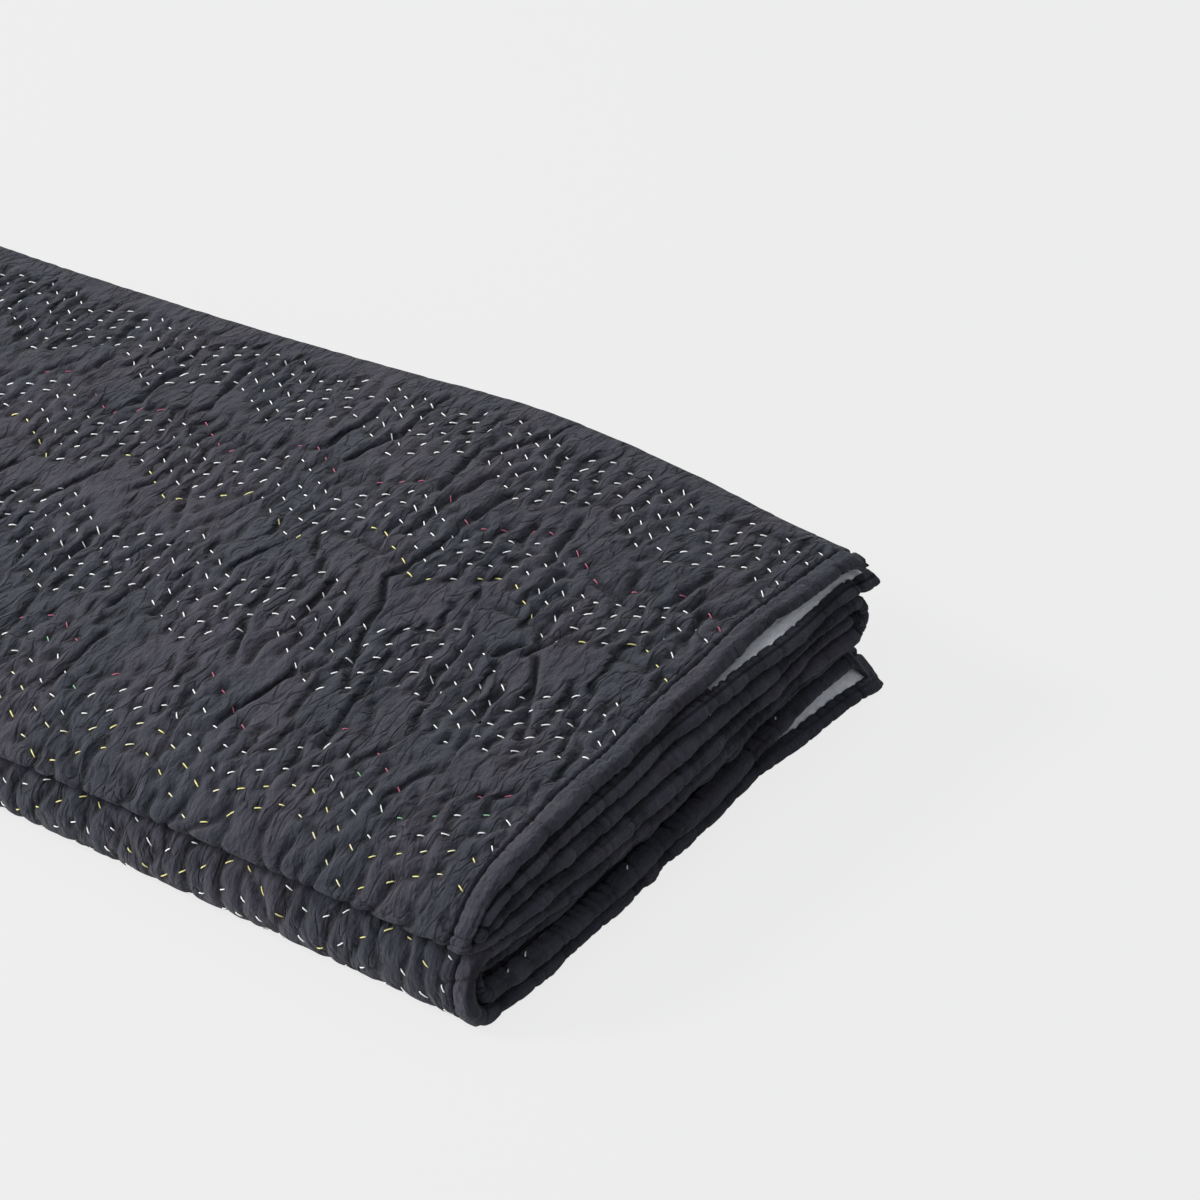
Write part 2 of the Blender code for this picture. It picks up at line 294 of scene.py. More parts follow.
def reach(inner, turn, from_front):
    """How far a hem stands out at the right end."""
    value = 0.0
    for row_inner, number, *values in REACH:
        rows = [(DEPTH * k / (len(values) - 1), value_k) for k, value_k in enumerate(values)]
        weight = np.clip(1 - np.abs(turn - number), 0, 1) * (inner == row_inner)
        value = value + weight * curve(rows, from_front)
    phase = WAVE_PER_PASS * turn + np.where(inner, WAVE_PER_CHAIN, 0.0)
    return value + EDGE_WAVE * np.sin(2 * math.pi * from_front / EDGE_WAVE_LENGTH + phase)


# ---- stations down the path -----------------------------------------------------------------------
def cloth_path():
    """Stations down the doubled cloth, 1.6 mm apart, as one array for each of their values.

    y and z lie halfway between the two chains, way points from there to the outer chain, and v is
    the distance down the path along the outside of the folds.
    """
    step = V_STEP / 2
    rows = []
    starts = {}
    v = 0.0
    radius = PASS_RISE / 2
    for number in range(1, PASSES + 1):
        z = STACK - LAYER - GAP / 2 - (number - 1) * PASS_RISE
        toward_front = number % 2 == 1
        out = 1.0 if toward_front else -1.0
        back = DEPTH - RIM_FULL if number in (1, PASSES) else DEPTH - NOSE
        start, stop = (back, NOSE) if toward_front else (NOSE, back)
        if number == 1:
            for edge, full in RIM:
                rows.append((DEPTH - edge, z, 0.0, out, 1.0, full, edge))
            v = RIM_FULL
        starts[f"pass_{number}"] = len(rows)
        count = 4 * round(abs(stop - start) / (4 * step))
        for k in range(count):
            share = k / count
            rows.append((start + (stop - start) * share, z, 0.0, out, float(number), 1.0,
                         v + abs(stop - start) * share))
        v += abs(stop - start)
        starts[f"fold_{number}"] = len(rows)
        if number < PASSES:
            side = -1.0 if toward_front else 1.0
            count = 4 * round(math.pi * NOSE / (4 * step))
            for k in range(count):
                angle = math.pi * k / count
                place = stop + side * radius * math.sin(angle)
                drop = z - radius + radius * math.cos(angle)
                rows.append((place, drop, side * math.sin(angle) * out, math.cos(angle) * out,
                             number + k / count, 1.0, v + math.pi * NOSE * k / count))
            v += math.pi * NOSE
        else:
            rows.append((stop, z, 0.0, out, float(number), 1.0, v))
            for edge, full in reversed(RIM):
                rows.append((DEPTH - edge, z, 0.0, out, float(number), full, v + RIM_FULL - edge))
    y, z, way_y, way_z, turn, full, v = np.array(rows).T
    return {"y": y, "z": z, "way_y": way_y, "way_z": way_z, "turn": turn, "full": full, "v": v,
            "starts": starts}


# ---- columns round the doubled cloth --------------------------------------------------------------
def ring_columns():
    """The closed outline of the doubled cloth, as one array for each of its columns' values.

    The zones run: outer face, left turn, inner face, inner tip, inner reverse, reverse turn,
    outer reverse, outer tip.
    """
    half = LAYER / 2
    face = list(HEM_PLACES) + [k * DU for k in range(FIRST_EVEN, U_STEPS + 1)]
    rows = []
    zones = {}

    def add(name, columns):
        zones[name] = (len(rows), len(rows) + len(columns))
        rows.extend(columns)

    add("outer_face", [(0, u, MIDDLE + half, u, 0) for u in face])
    radius = MIDDLE + half
    turn = []
    for k in range(1, TURN_STEPS):
        angle = math.pi * k / TURN_STEPS
        turn.append((0 if k <= TURN_STEPS / 2 else 1, CREASE_PLACE + radius * math.sin(angle),
                     radius * math.cos(angle), CREASE_PLACE + radius * angle, 0))
    add("turn", turn)
    add("inner_face", [(1, u, -MIDDLE - half, 2 * HALF_ROUND - u, 0) for u in reversed(face)])
    tip = []
    for k in range(1, TIP_STEPS):
        angle = math.pi * k / TIP_STEPS
        tip.append((half * (1 - math.sin(angle)), half * math.cos(angle), half * angle))
    add("inner_tip", [(1, u, -MIDDLE - off, 2 * HALF_ROUND - half + arc, 0) for u, off, arc in tip])

    def proud(u):
        return HEM_STEP if u <= HEM_TURN else 0.0

    add("inner_reverse", [(1, u, -MIDDLE + half + proud(u), u, 1) for u in REVERSE_PLACES])
    add("reverse_turn", [(0, CREASE_PLACE + MIDDLE - half, 0.0, CREASE_PLACE, 1)])
    add("outer_reverse",
        [(0, u, MIDDLE - half - proud(u), u, 1) for u in reversed(REVERSE_PLACES)])
    add("outer_tip",
        [(0, u, MIDDLE - off, half - half * math.pi + arc, 0) for u, off, arc in tip])
    inner, place, off, cloth_u, reverse = np.array(rows).T
    return {"inner": inner > 0.5, "place": place, "off": off, "cloth_u": cloth_u,
            "reverse": reverse > 0.5, "zones": zones}


def base_points(ring, path):
    """Where every column of every station lies before the cloth puckers."""
    inner = ring["inner"][:, None]
    place = ring["place"][:, None]
    off = ring["off"][:, None]
    turn = path["turn"][None, :]
    middle = np.where(inner, -MIDDLE, MIDDLE)
    off = middle + (off - middle) * path["full"][None, :]
    ends = (turn == 1.0) | (turn == float(PASSES))
    y = path["y"][None, :] + np.where(
        inner & ends, SIDE_REACH * smooth(1 - (DEPTH - path["y"][None, :]) / SIDE_REACH_DEPTH), 0.0)
    y = y + path["way_y"][None, :] * off
    z = path["z"][None, :] + path["way_z"][None, :] * off
    y = y + front_sag(z, turn, y)
    z = pile_height(z, inner, turn, place, y) - droop(inner, turn, place, y)
    z = z + bulge(inner, ring["reverse"][:, None], turn, place, y)
    near = ring["place"] < REACH_LENGTH
    x = np.broadcast_to(-place, y.shape).copy()
    slide = reach(inner[near], turn, y[near]) * smooth(1 - place[near] / REACH_LENGTH)
    x[near] += slide
    return np.stack([x, y, z], -1)


# ---- stitches -------------------------------------------------------------------------------------
STITCH = 0.0046                # length on the face
STITCHES_A_LEG = 4
STITCH_SPREAD = (0.75, 1.20)   # of their lengths
STITCH_SHOWS = 0.83            # share of a stitch that isn't drawn into the cloth
ROW_WANDER = 0.0005            # of a row, and of each stitch across it
ROW_DRIFT = 0.0012             # of a row along itself
STITCH_WANDER = 0.0008         # of a stitch along its row
STITCH_TILT = 0.0004
NEAREST_STITCH = 0.0148        # to the right edge
LEFT_CLEAR = 0.012             # without stitches before the left crease
SIDE_CLEAR = 0.014             # and inside the side hems
BANDS = (
    # middle, row pitch, half width of the zigzag, a point nearest the front, its period,
    # the thread colours of its five rows from the back
    (0.0480, 0.0130, 0.0150, 0.0860, 0.0900, "WWWWW"),
    (0.1380, 0.0130, 0.0145, 0.0900, 0.0890, "PWWWM"),
    (0.2350, 0.0130, 0.0150, 0.0820, 0.0950, "WWWWW"),
    (0.3350, 0.0160, 0.0160, 0.0810, 0.1050, "PGWCY"),
)
BACK_BANDS = (
    (0.8190, 0.0150, 0.0150, 0.0900, 0.0950, "WWCWW"),
)
LOWER_BANDS = (
    (1.1930, 0.0150, 0.0150, 0.1020, 0.1025, "WWMWW"),
    (1.2830, 0.0135, 0.0150, 0.0900, 0.0950, "PWWWM"),
    (1.3730, 0.0130, 0.0150, 0.0900, 0.0900, "WWWWW"),
    (1.4630, 0.0130, 0.0150, 0.0860, 0.0900, "WWWWW"),
    (1.5430, 0.0130, 0.0150, 0.0860, 0.0900, "WWWWW"),
)
# The threads that a row's letter draws from; a dot is a stitch sunk out of sight.
THREAD_MIX = {"W": 24 * "W" + ".", "C": "CCYCY", "Y": "YYYCY", "M": "YYW", "G": "WWWG", "P": "PP."}

# A few stitches that show on the edges of the inner layers.
EDGE_STITCHES = (
    # zone, pass, from the front, from the edge
    ("inner_face", 4, 0.309, 0.0085),
    ("inner_face", 4, 0.292, 0.0065),
    ("inner_face", 4, 0.257, 0.0080),
    ("inner_face", 4, 0.141, 0.0060),
    ("inner_face", 4, 0.051, 0.0075),
    ("inner_face", 4, 0.036, 0.0060),
    ("inner_face", 2, 0.226, 0.0050),
    ("outer_face", 3, 0.136, 0.0055),
    ("outer_face", 3, 0.305, 0.0050),
)


def edge_stitches(path, zone):
    """The edge stitches of one zone, as u and v of their two ends and their colour."""
    found = []
    for row_zone, number, from_front, from_edge in EDGE_STITCHES:
        if row_zone == zone:
            away = np.abs(path["y"] - from_front) + 10 * (path["turn"] != number)
            v = path["v"][np.argmin(away)]
            found.append((from_edge, v - 0.3 * STITCH, from_edge + 0.4 * STITCH, v + 0.3 * STITCH, "W"))
    return found


def zigzag(u, valley, period, swing):
    """A row's place across the cloth: a triangle wave, furthest forward at valley."""
    phase = ((u - valley) / period) % 1.0
    return swing * (4 * np.abs(phase - 0.5) - 1)


def stitch_rows(bands, rng, low, high):
    """Every running stitch of some bands: u and v of its two ends and its colour."""
    found = []
    for middle, row_pitch, swing, valley, period, colours in bands:
        pitch = period / 2 / STITCHES_A_LEG
        for row, letter in enumerate(colours):
            v_row = middle + (row - 2) * row_pitch + rng.normal(0, ROW_WANDER)
            drift = rng.normal(0, ROW_DRIFT)
            for k in range(int(CREASE_PLACE / pitch)):
                centre = (k + 0.5) * pitch + drift + rng.normal(0, STITCH_WANDER)
                half = 0.5 * STITCH * rng.uniform(*STITCH_SPREAD) * STITCH_SHOWS
                wobble = rng.normal(0, ROW_WANDER)
                tilt = rng.normal(0, STITCH_TILT)
                colour = rng.choice(list(THREAD_MIX[letter]))
                a, b = centre - half, centre + half
                va = v_row + wobble - tilt + zigzag(a, valley, period, swing)
                vb = v_row + wobble + tilt + zigzag(b, valley, period, swing)
                if a < NEAREST_STITCH or b > CREASE_PLACE - LEFT_CLEAR:
                    continue
                if low < min(va, vb) and max(va, vb) < high:
                    found.append((a, va, b, vb, colour))
    return found


# Long creases of the top, each a line of (u, v) in mm, read off a plan view of the photo.
CREASES = (
    ((49, 77), (50, 99), (52, 120)),
    ((41, 95), (40, 111)),
    ((15, 81), (19, 97), (24, 107)),
    ((135, 81), (129, 109), (125, 124)),
    ((80, 100), (75, 125)),
    ((180, 83), (183, 120), (184, 144), (191, 179)),
    ((151, 99), (150, 121)),
    ((206, 104), (207, 129)),
    ((199, 72), (201, 88), (204, 120), (207, 147)),
    ((222, 58), (220, 80), (217, 105)),
    ((275, 12), (274, 64), (282, 99)),
    ((304, 28), (302, 50), (304, 99)),
    ((319, 47), (317, 77)),
    ((404, 45), (397, 77), (395, 93)),
    ((438, 61), (440, 80), (436, 104)),
    ((487, 45), (485, 88)),
    ((113, 124), (116, 149)),
    ((31, 111), (29, 133)),
    ((97, 187), (107, 204)),
    ((85, 179), (92, 193)),
    ((191, 189), (183, 203), (181, 215), (175, 235), (164, 259)),
    ((195, 215), (193, 231)),
    ((220, 197), (217, 208), (216, 227), (214, 247)),
    ((249, 176), (240, 191)),
    ((353, 164), (343, 182)),
    ((240, 252), (231, 275)),
    ((220, 260), (220, 277)),
    ((155, 237), (150, 267), (143, 310)),
    ((139, 267), (132, 280)),
    ((123, 207), (123, 237), (119, 253)),
    ((87, 227), (87, 251)),
    ((85, 193), (71, 219), (63, 233), (56, 249)),
    ((56, 204), (48, 215)),
    ((39, 220), (33, 245)),
    ((24, 237), (20, 264)),
    ((21, 168), (14, 191)),
    ((176, 269), (173, 296)),
    ((192, 269), (203, 312)),
    ((288, 315), (288, 355), (263, 384)),
    ((311, 288), (313, 342)),
    ((226, 328), (223, 358)),
    ((318, 228), (322, 266)),
    ((295, 231), (296, 266)),
    ((370, 220), (373, 255)),
    ((125, 172), (85, 172)),
    ((55, 167), (29, 168)),
    ((239, 164), (223, 165), (196, 172)),
    ((93, 125), (71, 128)),
)
CREASE_HALF = 0.0018
MM_PER_METRE = 1000
# The creases that wrap round a fold, in mm.
NOSE_FIRST = (14, 22)
NOSE_LAST = 970
NOSE_SPACING = (8, 32)
NOSE_LEAN = 7
NOSE_BOW = 3
NOSE_SHORTER = 0.35            # by how much of the fold one may end early


def nose_creases(rng, low, high):
    """Creases that wrap round a fold, each a line of (u, v) in mm."""
    lines = []
    u = rng.uniform(*NOSE_FIRST)
    while u < NOSE_LAST:
        start = low + (high - low) * rng.uniform(0.0, NOSE_SHORTER)
        stop = high - (high - low) * rng.uniform(0.0, NOSE_SHORTER)
        lean = rng.normal(0, NOSE_LEAN)
        bow = rng.normal(0, NOSE_BOW)
        lines.append([(u + lean * (share - 0.5) + bow * math.sin(2 * math.pi * share),
                       MM_PER_METRE * (start + (stop - start) * share))
                      for share in (0.0, 0.2, 0.4, 0.6, 0.8, 1.0)])
        u += rng.uniform(*NOSE_SPACING)
    return lines


def creased(lines, u, v):
    """How near each place of a grid is to a crease: 1 on it, 0 away from it."""
    near = np.full((len(u), len(v)), 1.0)
    for line in lines:
        for (u0, v0), (u1, v1) in zip(line, line[1:]):
            du, dv = (u1 - u0) / MM_PER_METRE, (v1 - v0) / MM_PER_METRE
            from_u = u[:, None] - u0 / MM_PER_METRE
            from_v = v[None, :] - v0 / MM_PER_METRE
            share = np.clip((from_u * du + from_v * dv) / (du**2 + dv**2), 0, 1)
            distance = np.hypot(from_u - share * du, from_v - share * dv)
            near = np.minimum(near, distance)
    return np.exp(-(near / CREASE_HALF) ** 2).astype(np.float32)


# ---- puckers --------------------------------------------------------------------------------------
PLAIN_FULL_U = 0.065           # how much fuller the cloth is than the space it lies in
STITCHED_FULL_U = 0.120        # along the pile, in the plain bands and in the stitched ones
FULL_V = 0.037                 # and across it
RIPPLE_LEAN = 0.28             # of the ripples drawn out across the pile
CRUMPLE = 0.6                  # share of short ripples every way
KICK = 0.00004                 # how hard the ripples start the puckers off
BEND = 0.018                   # stiffness against bending, for one step
SETTLE = 0.04                  # how fast a rise sinks back in one step
SINK = 0.013                   # and a hollow fills
PIN_SHARES = (0.3, 0.7)        # where a stitch holds the cloth, along it
PIN_DEPTH = 0.0024
SHARPEN = 0.35
CREASE_PULL = 0.00003          # how far a long crease is drawn down in one step
CREASE_DEPTH_CUT = 0.0015      # how much sharper it is at last
CREASE_WEIGHT = 2.5            # of a long crease against the ripples
LEAN_SIZE = (0.06, 0.05)       # of the areas that lean one way or the other, along u and v
RIPPLE_SIZE = (0.004, 0.040)
CRUMPLE_SIZE = (0.006, 0.009)
FULL_SIZE = (0.04, 0.04)       # of the areas that are fuller or less full
FIRST_RISE = 0.0004            # of the ripples before the first step
KICK_SHARE = 0.6               # of the steps, in which they stir the cloth
CALM_FADE = 0.02
CALM_CUT = 0.65                # of the fullness where the cloth is calm
DENSE_RADIUS = 0.007           # round a stitch, where the cloth counts as stitched
DENSE_FULL = 0.045
STIFF_V = 0.9
STIFF_DIAGONAL = 0.15
SHARPEN_RADIUS = (2.2, 1.2)    # in steps of the grid


def filtered_noise(rng, shape, across_u, across_v, lean):
    """Smooth noise of unit spread, drawn out along v and leaning."""
    noise = rng.standard_normal(shape)
    fu = np.fft.fftfreq(shape[0], DU)[:, None]
    fv = np.fft.rfftfreq(shape[1], V_STEP)[None, :]
    keep = np.exp(-8 * (fu * across_u) ** 2 - 8 * ((fv + lean * fu) * across_v) ** 2)
    noise = np.fft.irfft2(np.fft.rfft2(noise) * keep, s=shape)
    return (noise / noise.std()).astype(np.float32)


def pull(a, b, rest, stiffness):
    """Move two arrays of points towards their rest length apart."""
    gap = b - a
    length = np.sqrt((gap * gap).sum(-1, keepdims=True))
    move = (0.5 * stiffness) * (1 - rest / length) * gap
    a += move
    b -= move


def blurred(field, radius_u, radius_v):
    """A field smoothed over a few steps of its grid."""
    fu = np.fft.fftfreq(field.shape[0])[:, None] * radius_u
    fv = np.fft.rfftfreq(field.shape[1])[None, :] * radius_v
    keep = np.exp(-2 * math.pi**2 * (fu * fu + fv * fv))
    return np.fft.irfft2(np.fft.rfft2(field) * keep, s=field.shape)


def pucker(stitches, creases, calm, v_low, v_count, seed, steps):
    """Relax a cloth that is fuller than the space it lies in and is held down at its stitches.

    Between the two places of calm, on a fold, little but the creases stirs it.  Returns how far
    each place of the even grid moves along u, along v and up.
    """
    rng = np.random.default_rng(seed)
    u = np.arange(U_STEPS + 1) * DU
    v = v_low + np.arange(v_count) * V_STEP
    shape = (len(u), len(v))
    cloth = np.zeros(shape + (3,), np.float32)
    cloth[..., 0] = u[:, None]
    cloth[..., 1] = v[None, :]
    flat = cloth.copy()
    here = smooth(0.5 + 0.8 * filtered_noise(rng, shape, *LEAN_SIZE, 0.0))
    ripple = (here * filtered_noise(rng, shape, *RIPPLE_SIZE, RIPPLE_LEAN)
              + (1 - here) * filtered_noise(rng, shape, *RIPPLE_SIZE, -0.6 * RIPPLE_LEAN)
              + CRUMPLE * filtered_noise(rng, shape, *CRUMPLE_SIZE, 0.0)).astype(np.float32)
    cloth[..., 2] = ripple * FIRST_RISE
    calm = (smooth((v - calm[0]) / CALM_FADE) * smooth((calm[1] - v) / CALM_FADE))[None, :]
    crease = creased(creases, u, v)
    ripple = (ripple * (1 - 0.5 * calm) - CREASE_WEIGHT * crease).astype(np.float32)
    rest_v = np.float32(V_STEP * (1 + FULL_V))
    rest_d = np.float32(math.hypot(DU * (1 + PLAIN_FULL_U), V_STEP * (1 + FULL_V)))
    places = set()
    for a, va, b, vb, _ in stitches:
        for share in PIN_SHARES:
            i = round((a + (b - a) * share) / DU)
            j = round((va + (vb - va) * share - v_low) / V_STEP)
            if 0 < i < shape[0] - 1 and 0 < j < shape[1] - 1:
                places.add((i, j))
    pin_i, pin_j = np.array(sorted(places)).T
    pins = flat[pin_i, pin_j].copy()
    pins[:, 2] = -PIN_DEPTH
    dense = np.zeros(shape)
    dense[pin_i, pin_j] = 1.0
    dense = smooth(blurred(dense, DENSE_RADIUS / DU, DENSE_RADIUS / V_STEP) / DENSE_FULL)
    full = PLAIN_FULL_U + (STITCHED_FULL_U - PLAIN_FULL_U) * dense
    full = full * (1 + 0.3 * filtered_noise(rng, shape, *FULL_SIZE, 0.0)) * (1 - CALM_CUT * calm)
    rest_u = (DU * (1 + full)).astype(np.float32)[..., None]
    for step in range(steps):
        if step < steps * KICK_SHARE:
            cloth[..., 2] += KICK * ripple * (1 - step / (steps * KICK_SHARE))
        for _ in range(2):
            for odd in (0, 1):
                pull(cloth[odd:-1:2], cloth[1 + odd::2], rest_u[odd:-1:2], 1.0)
                pull(cloth[:, odd:-1:2], cloth[:, 1 + odd::2], rest_v, STIFF_V)
        for odd in (0, 1):
            near, far = cloth[odd:-1:2], cloth[1 + odd::2]
            pull(near[:, :-1], far[:, 1:], rest_d, STIFF_DIAGONAL)
            pull(near[:, 1:], far[:, :-1], rest_d, STIFF_DIAGONAL)
        z = cloth[..., 2]
        bend = np.zeros_like(z)
        bend[2:-2] += z[:-4] - 4 * z[1:-3] + 6 * z[2:-2] - 4 * z[3:-1] + z[4:]
        bend[:, 2:-2] += (z[:, :-4] - 4 * z[:, 1:-3] + 6 * z[:, 2:-2] - 4 * z[:, 3:-1]
                          + z[:, 4:])
        z -= BEND * bend + CREASE_PULL * crease
        z -= np.where(z > 0, SETTLE, SINK).astype(np.float32) * z
        cloth[pin_i, pin_j] += (pins - cloth[pin_i, pin_j]) * 0.5
        cloth[0, :, 0] = u[0]
        cloth[-1, :, 0] = u[-1]
        cloth[:, 0, 1] = v[0]
        cloth[:, -1, 1] = v[-1]
    moved = (cloth - flat).astype(float)
    moved[..., 2] -= CREASE_DEPTH_CUT * creased(creases, u, v) ** 2
    moved[..., 2] += SHARPEN * (moved[..., 2] - blurred(moved[..., 2], *SHARPEN_RADIUS))
    return moved


def sample(field, u, v, v_low):
    """Read a field of the even grid at every u and v, as a grid of them."""
    fi = np.clip(u / DU, 0, field.shape[0] - 1.001)
    fj = np.clip((v - v_low) / V_STEP, 0, field.shape[1] - 1.001)
    i, j = fi.astype(int), fj.astype(int)
    s = (fi - i)[:, None]
    t = (fj - j)[None, :]
    if field.ndim == 3:
        s, t = s[..., None], t[..., None]
    i, j = i[:, None], j[None, :]
    near = field[i, j] * (1 - s) + field[i + 1, j] * s
    far = field[i, j + 1] * (1 - s) + field[i + 1, j + 1] * s
    return near * (1 - t) + far * t


GATHER_HALF = (0.0008, 0.0019)
GATHER_DEPTH = (0.0005, 0.0022)
GATHER_LEAN = 0.22
GATHER_RUN = (0.008, 0.026)
GATHER_SPREAD = (0.4, 1.6)     # of the spaces between them


def gathers(rng, length, spacing):
    """Random gathers along an edge: place, half width, depth, lean and how far in they run."""
    found = []
    place = rng.uniform(0, spacing)
    while place < length:
        found.append((place, rng.uniform(*GATHER_HALF), rng.uniform(*GATHER_DEPTH),
                      rng.normal(0, GATHER_LEAN), rng.uniform(*GATHER_RUN)))
        place += spacing * rng.uniform(*GATHER_SPREAD)
    return found


def gathered(rows, along_edge, from_edge, root):
    """How deep the gathers are at places along an edge and in from it."""
    depth = np.zeros(np.broadcast(along_edge, from_edge).shape)
    for place, width, deep, lean, run in rows:
        d = (along_edge - place - lean * (from_edge - root)) / width
        fade = smooth(1 - (from_edge - root) / run)
        depth = np.maximum(depth, deep * np.exp(-d * d) * fade)
    return depth


# ---- the cloth's mesh -----------------------------------------------------------------------------
def blocks_of(ring, path, first, last):
    """How finely each part of the cloth is divided, from station first to station last.

    Each row is a range of columns, a range of stations, and the steps across and down it.
    """
    zones = ring["zones"]
    starts = path["starts"]
    columns = len(ring["place"])
    count = len(path["y"]) - 1
    hem = len(HEM_PLACES)
    a0, a1 = zones["outer_face"][0], zones["outer_face"][1] - 1
    c0, c1 = zones["inner_face"][0], zones["inner_face"][1] - 1
    far = a0 + hem + round(FINE_TO / DU) - FIRST_EVEN
    r0 = zones["inner_reverse"][0]
    q1 = zones["outer_reverse"][1]
    under_1 = starts["pass_2"] + UNDER_NOSE
    under_3 = starts["fold_3"] - UNDER_NOSE
    spans = [
        # first station, last station, kind
        (0, starts["pass_1"], "rim"),
        (starts["pass_1"], starts["fold_1"], "top"),
        (starts["fold_1"], starts["pass_2"], "nose"),
        (starts["pass_2"], under_1, "under_nose"),
        (under_1, starts["fold_2"], "hidden"),
        (starts["fold_2"], starts["pass_3"], "back_fold"),
        (starts["pass_3"], under_3, "hidden"),
        (under_3, starts["fold_3"], "under_nose"),
        (starts["fold_3"], starts["pass_4"], "nose"),
        (starts["pass_4"], starts["fold_4"], "bottom"),
        (starts["fold_4"], count, "rim"),
    ]
    steps = {
        # outer face: across near, across far, down; inner face: across, down; reverse down
        "rim": (2, 2, 1, 8, 1, 1),
        "top": (1, 2, 2, 16, 8, 8),
        "nose": (1, 2, 2, 16, 4, 4),
        "under_nose": (2, 2, 2, 16, 4, 4),
        "hidden": (16, 16, 8, 16, 8, 8),
        "back_fold": (16, 16, 4, 2, 2, 4),
        "bottom": (2, 2, 4, 16, 8, 8),
    }
    found = []
    for s0, s1, kind in spans:
        s0, s1 = max(s0, first), min(s1, last)
        if s0 >= s1:
            continue
        near, beyond, down, inner_across, inner_down, reverse_down = steps[kind]
        found.append((a0, a0 + hem, s0, s1, 1, 1))
        found.append((a0 + hem, far, s0, s1, near, down))
        found.append((far, a1, s0, s1, beyond, down))
        found.append((a1, c0, s0, s1, 1, 1 if kind == "rim" else 2))
        found.append((c0, c1 - hem, s0, s1, inner_across, inner_down))
        found.append((c1 - hem, c1, s0, s1, 1, 1))
        found.append((c1, r0 + NEAR_REVERSE, s0, s1, 1, 1))
        found.append((r0 + NEAR_REVERSE, q1 - 1 - NEAR_REVERSE, s0, s1, 1, reverse_down))
        found.append((q1 - 1 - NEAR_REVERSE, columns, s0, s1, 1, 1))
    return found


def cells_of(blocks):
    """Every cell of the blocks: its first and last column and its first and last station."""
    cells = []
    for k0, k1, s0, s1, across, down in blocks:
        for k in range(k0, k1, across):
            for s in range(s0, s1, down):
                cells.append((k, min(k + across, k1), s, min(s + down, s1)))
    return cells


def cap_cells(ring):
    """Rows of columns that close the cloth at a station: a stretch of face and one of reverse."""
    zones = ring["zones"]
    place = ring["place"]
    q0, q1 = zones["outer_reverse"]
    r0, r1 = zones["inner_reverse"]
    a0, a1 = zones["outer_face"]
    c0, c1 = zones["inner_face"]
    turn = zones["reverse_turn"][0]
    outer = {q: a0 + int(np.argmin(np.abs(place[a0:a1] - place[q]))) for q in range(q0, q1)}
    inner = {r: c0 + int(np.argmin(np.abs(place[c0:c1] - place[r]))) for r in range(r0, r1)}
    outer[q0], outer[q1 - 1] = a1 - 1, a0
    inner[r0], inner[r1 - 1] = c1 - 1, c0
    rows = []
    for q in range(q0, q1 - 1):
        rows.append((list(range(outer[q + 1], outer[q] + 1)), [q, q + 1]))
    for r in range(r0, r1 - 1):
        rows.append((list(range(inner[r + 1], inner[r] + 1)), [r, r + 1]))
    rows.append((list(range(a1 - 1, c0 + 1)), [r1 - 1, turn, q0]))
    rows.append((list(range(c1 - 1, r0 + 1)), []))
    rows.append((list(range(q1 - 1, len(place))) + [a0], []))
    return rows


def skin(name, points, hollow, ring, path, first, last, materials):
    """Make one closed piece of the cloth from station first to station last."""
    columns, stations = points.shape[:2]
    cells = cells_of(blocks_of(ring, path, first, last))
    used = np.zeros((columns, stations), bool)
    table = np.array(cells)
    for k in (0, 1):
        for s in (2, 3):
            used[table[:, k] % columns, table[:, s]] = True
    for station in (first, last):
        for face_side, reverse_side in cap_cells(ring):
            for k in (face_side[0], face_side[-1], *reverse_side):
                used[k, station] = True
    number = np.full((columns, stations), -1)
    number[used] = np.arange(used.sum())
    faces = []
    slots = []
    reverse = ring["reverse"]
    place = ring["place"]

    def add(loop, k):
        ids = [number[c % columns, s] for c, s in loop if used[c % columns, s]]
        faces.append(ids)
        c = k % columns
        s = loop[0][1]
        v = path["v"][s]
        inside = min(v, path["v"][-1] - v) >= RIM_FULL + 0.0010
        open_mouth = path["turn"][s] in (1.0, float(PASSES)) and path["y"][s] > MOUTH_FROM
        # painted shade: away from the mouths the face colour covers the reverse out to PALE_INSIDE,
        # darkening the narrow gaps between layers
        margin = HEM_TURN if open_mouth else PALE_INSIDE
        pale = inside and reverse[c] and reverse[(c + 1) % columns] and max(
            place[c], place[(c + 1) % columns]) > margin + 0.0001
        slots.append(1 if pale else 0)

    for k0, k1, s0, s1 in cells:
        loop = [(k, s0) for k in range(k0, k1)]
        loop += [(k1, s) for s in range(s0, s1)]
        loop += [(k, s1) for k in range(k1, k0, -1)]
        loop += [(k0, s) for s in range(s1, s0, -1)]
        add(loop, k0)
    for station, flip in ((first, True), (last, False)):
        for face_side, reverse_side in cap_cells(ring):
            loop = [(k, station) for k in face_side] + [(k, station) for k in reverse_side]
            if flip:
                loop = loop[::-1]
            add(loop, 0)
    mesh = bpy.data.meshes.new(name)
    mesh.from_pydata(points[used].tolist(), [], faces)
    mesh.polygons.foreach_set("material_index", slots)
    loops = np.zeros(len(mesh.loops), np.int32)
    mesh.loops.foreach_get("vertex_index", loops)
    u = np.broadcast_to(ring["cloth_u"][:, None], used.shape)[used]
    v = np.broadcast_to(path["v"][None, :], used.shape)[used]
    layer = mesh.uv_layers.new(name="cloth")
    layer.data.foreach_set("uv", np.stack([u[loops], v[loops]], -1).astype(np.float32).ravel())
    mesh.shade_smooth()
    # painted shade of the hollows, passed to the material as a point attribute
    cavity_shade = mesh.attributes.new("cavity_shade", "FLOAT", "POINT")
    cavity_shade.data.foreach_set("value", hollow[used].astype(np.float32))
    for material in materials:
        mesh.materials.append(material)
    piece = bpy.data.objects.new(name, mesh)
    bpy.context.scene.collection.objects.link(piece)
    return piece


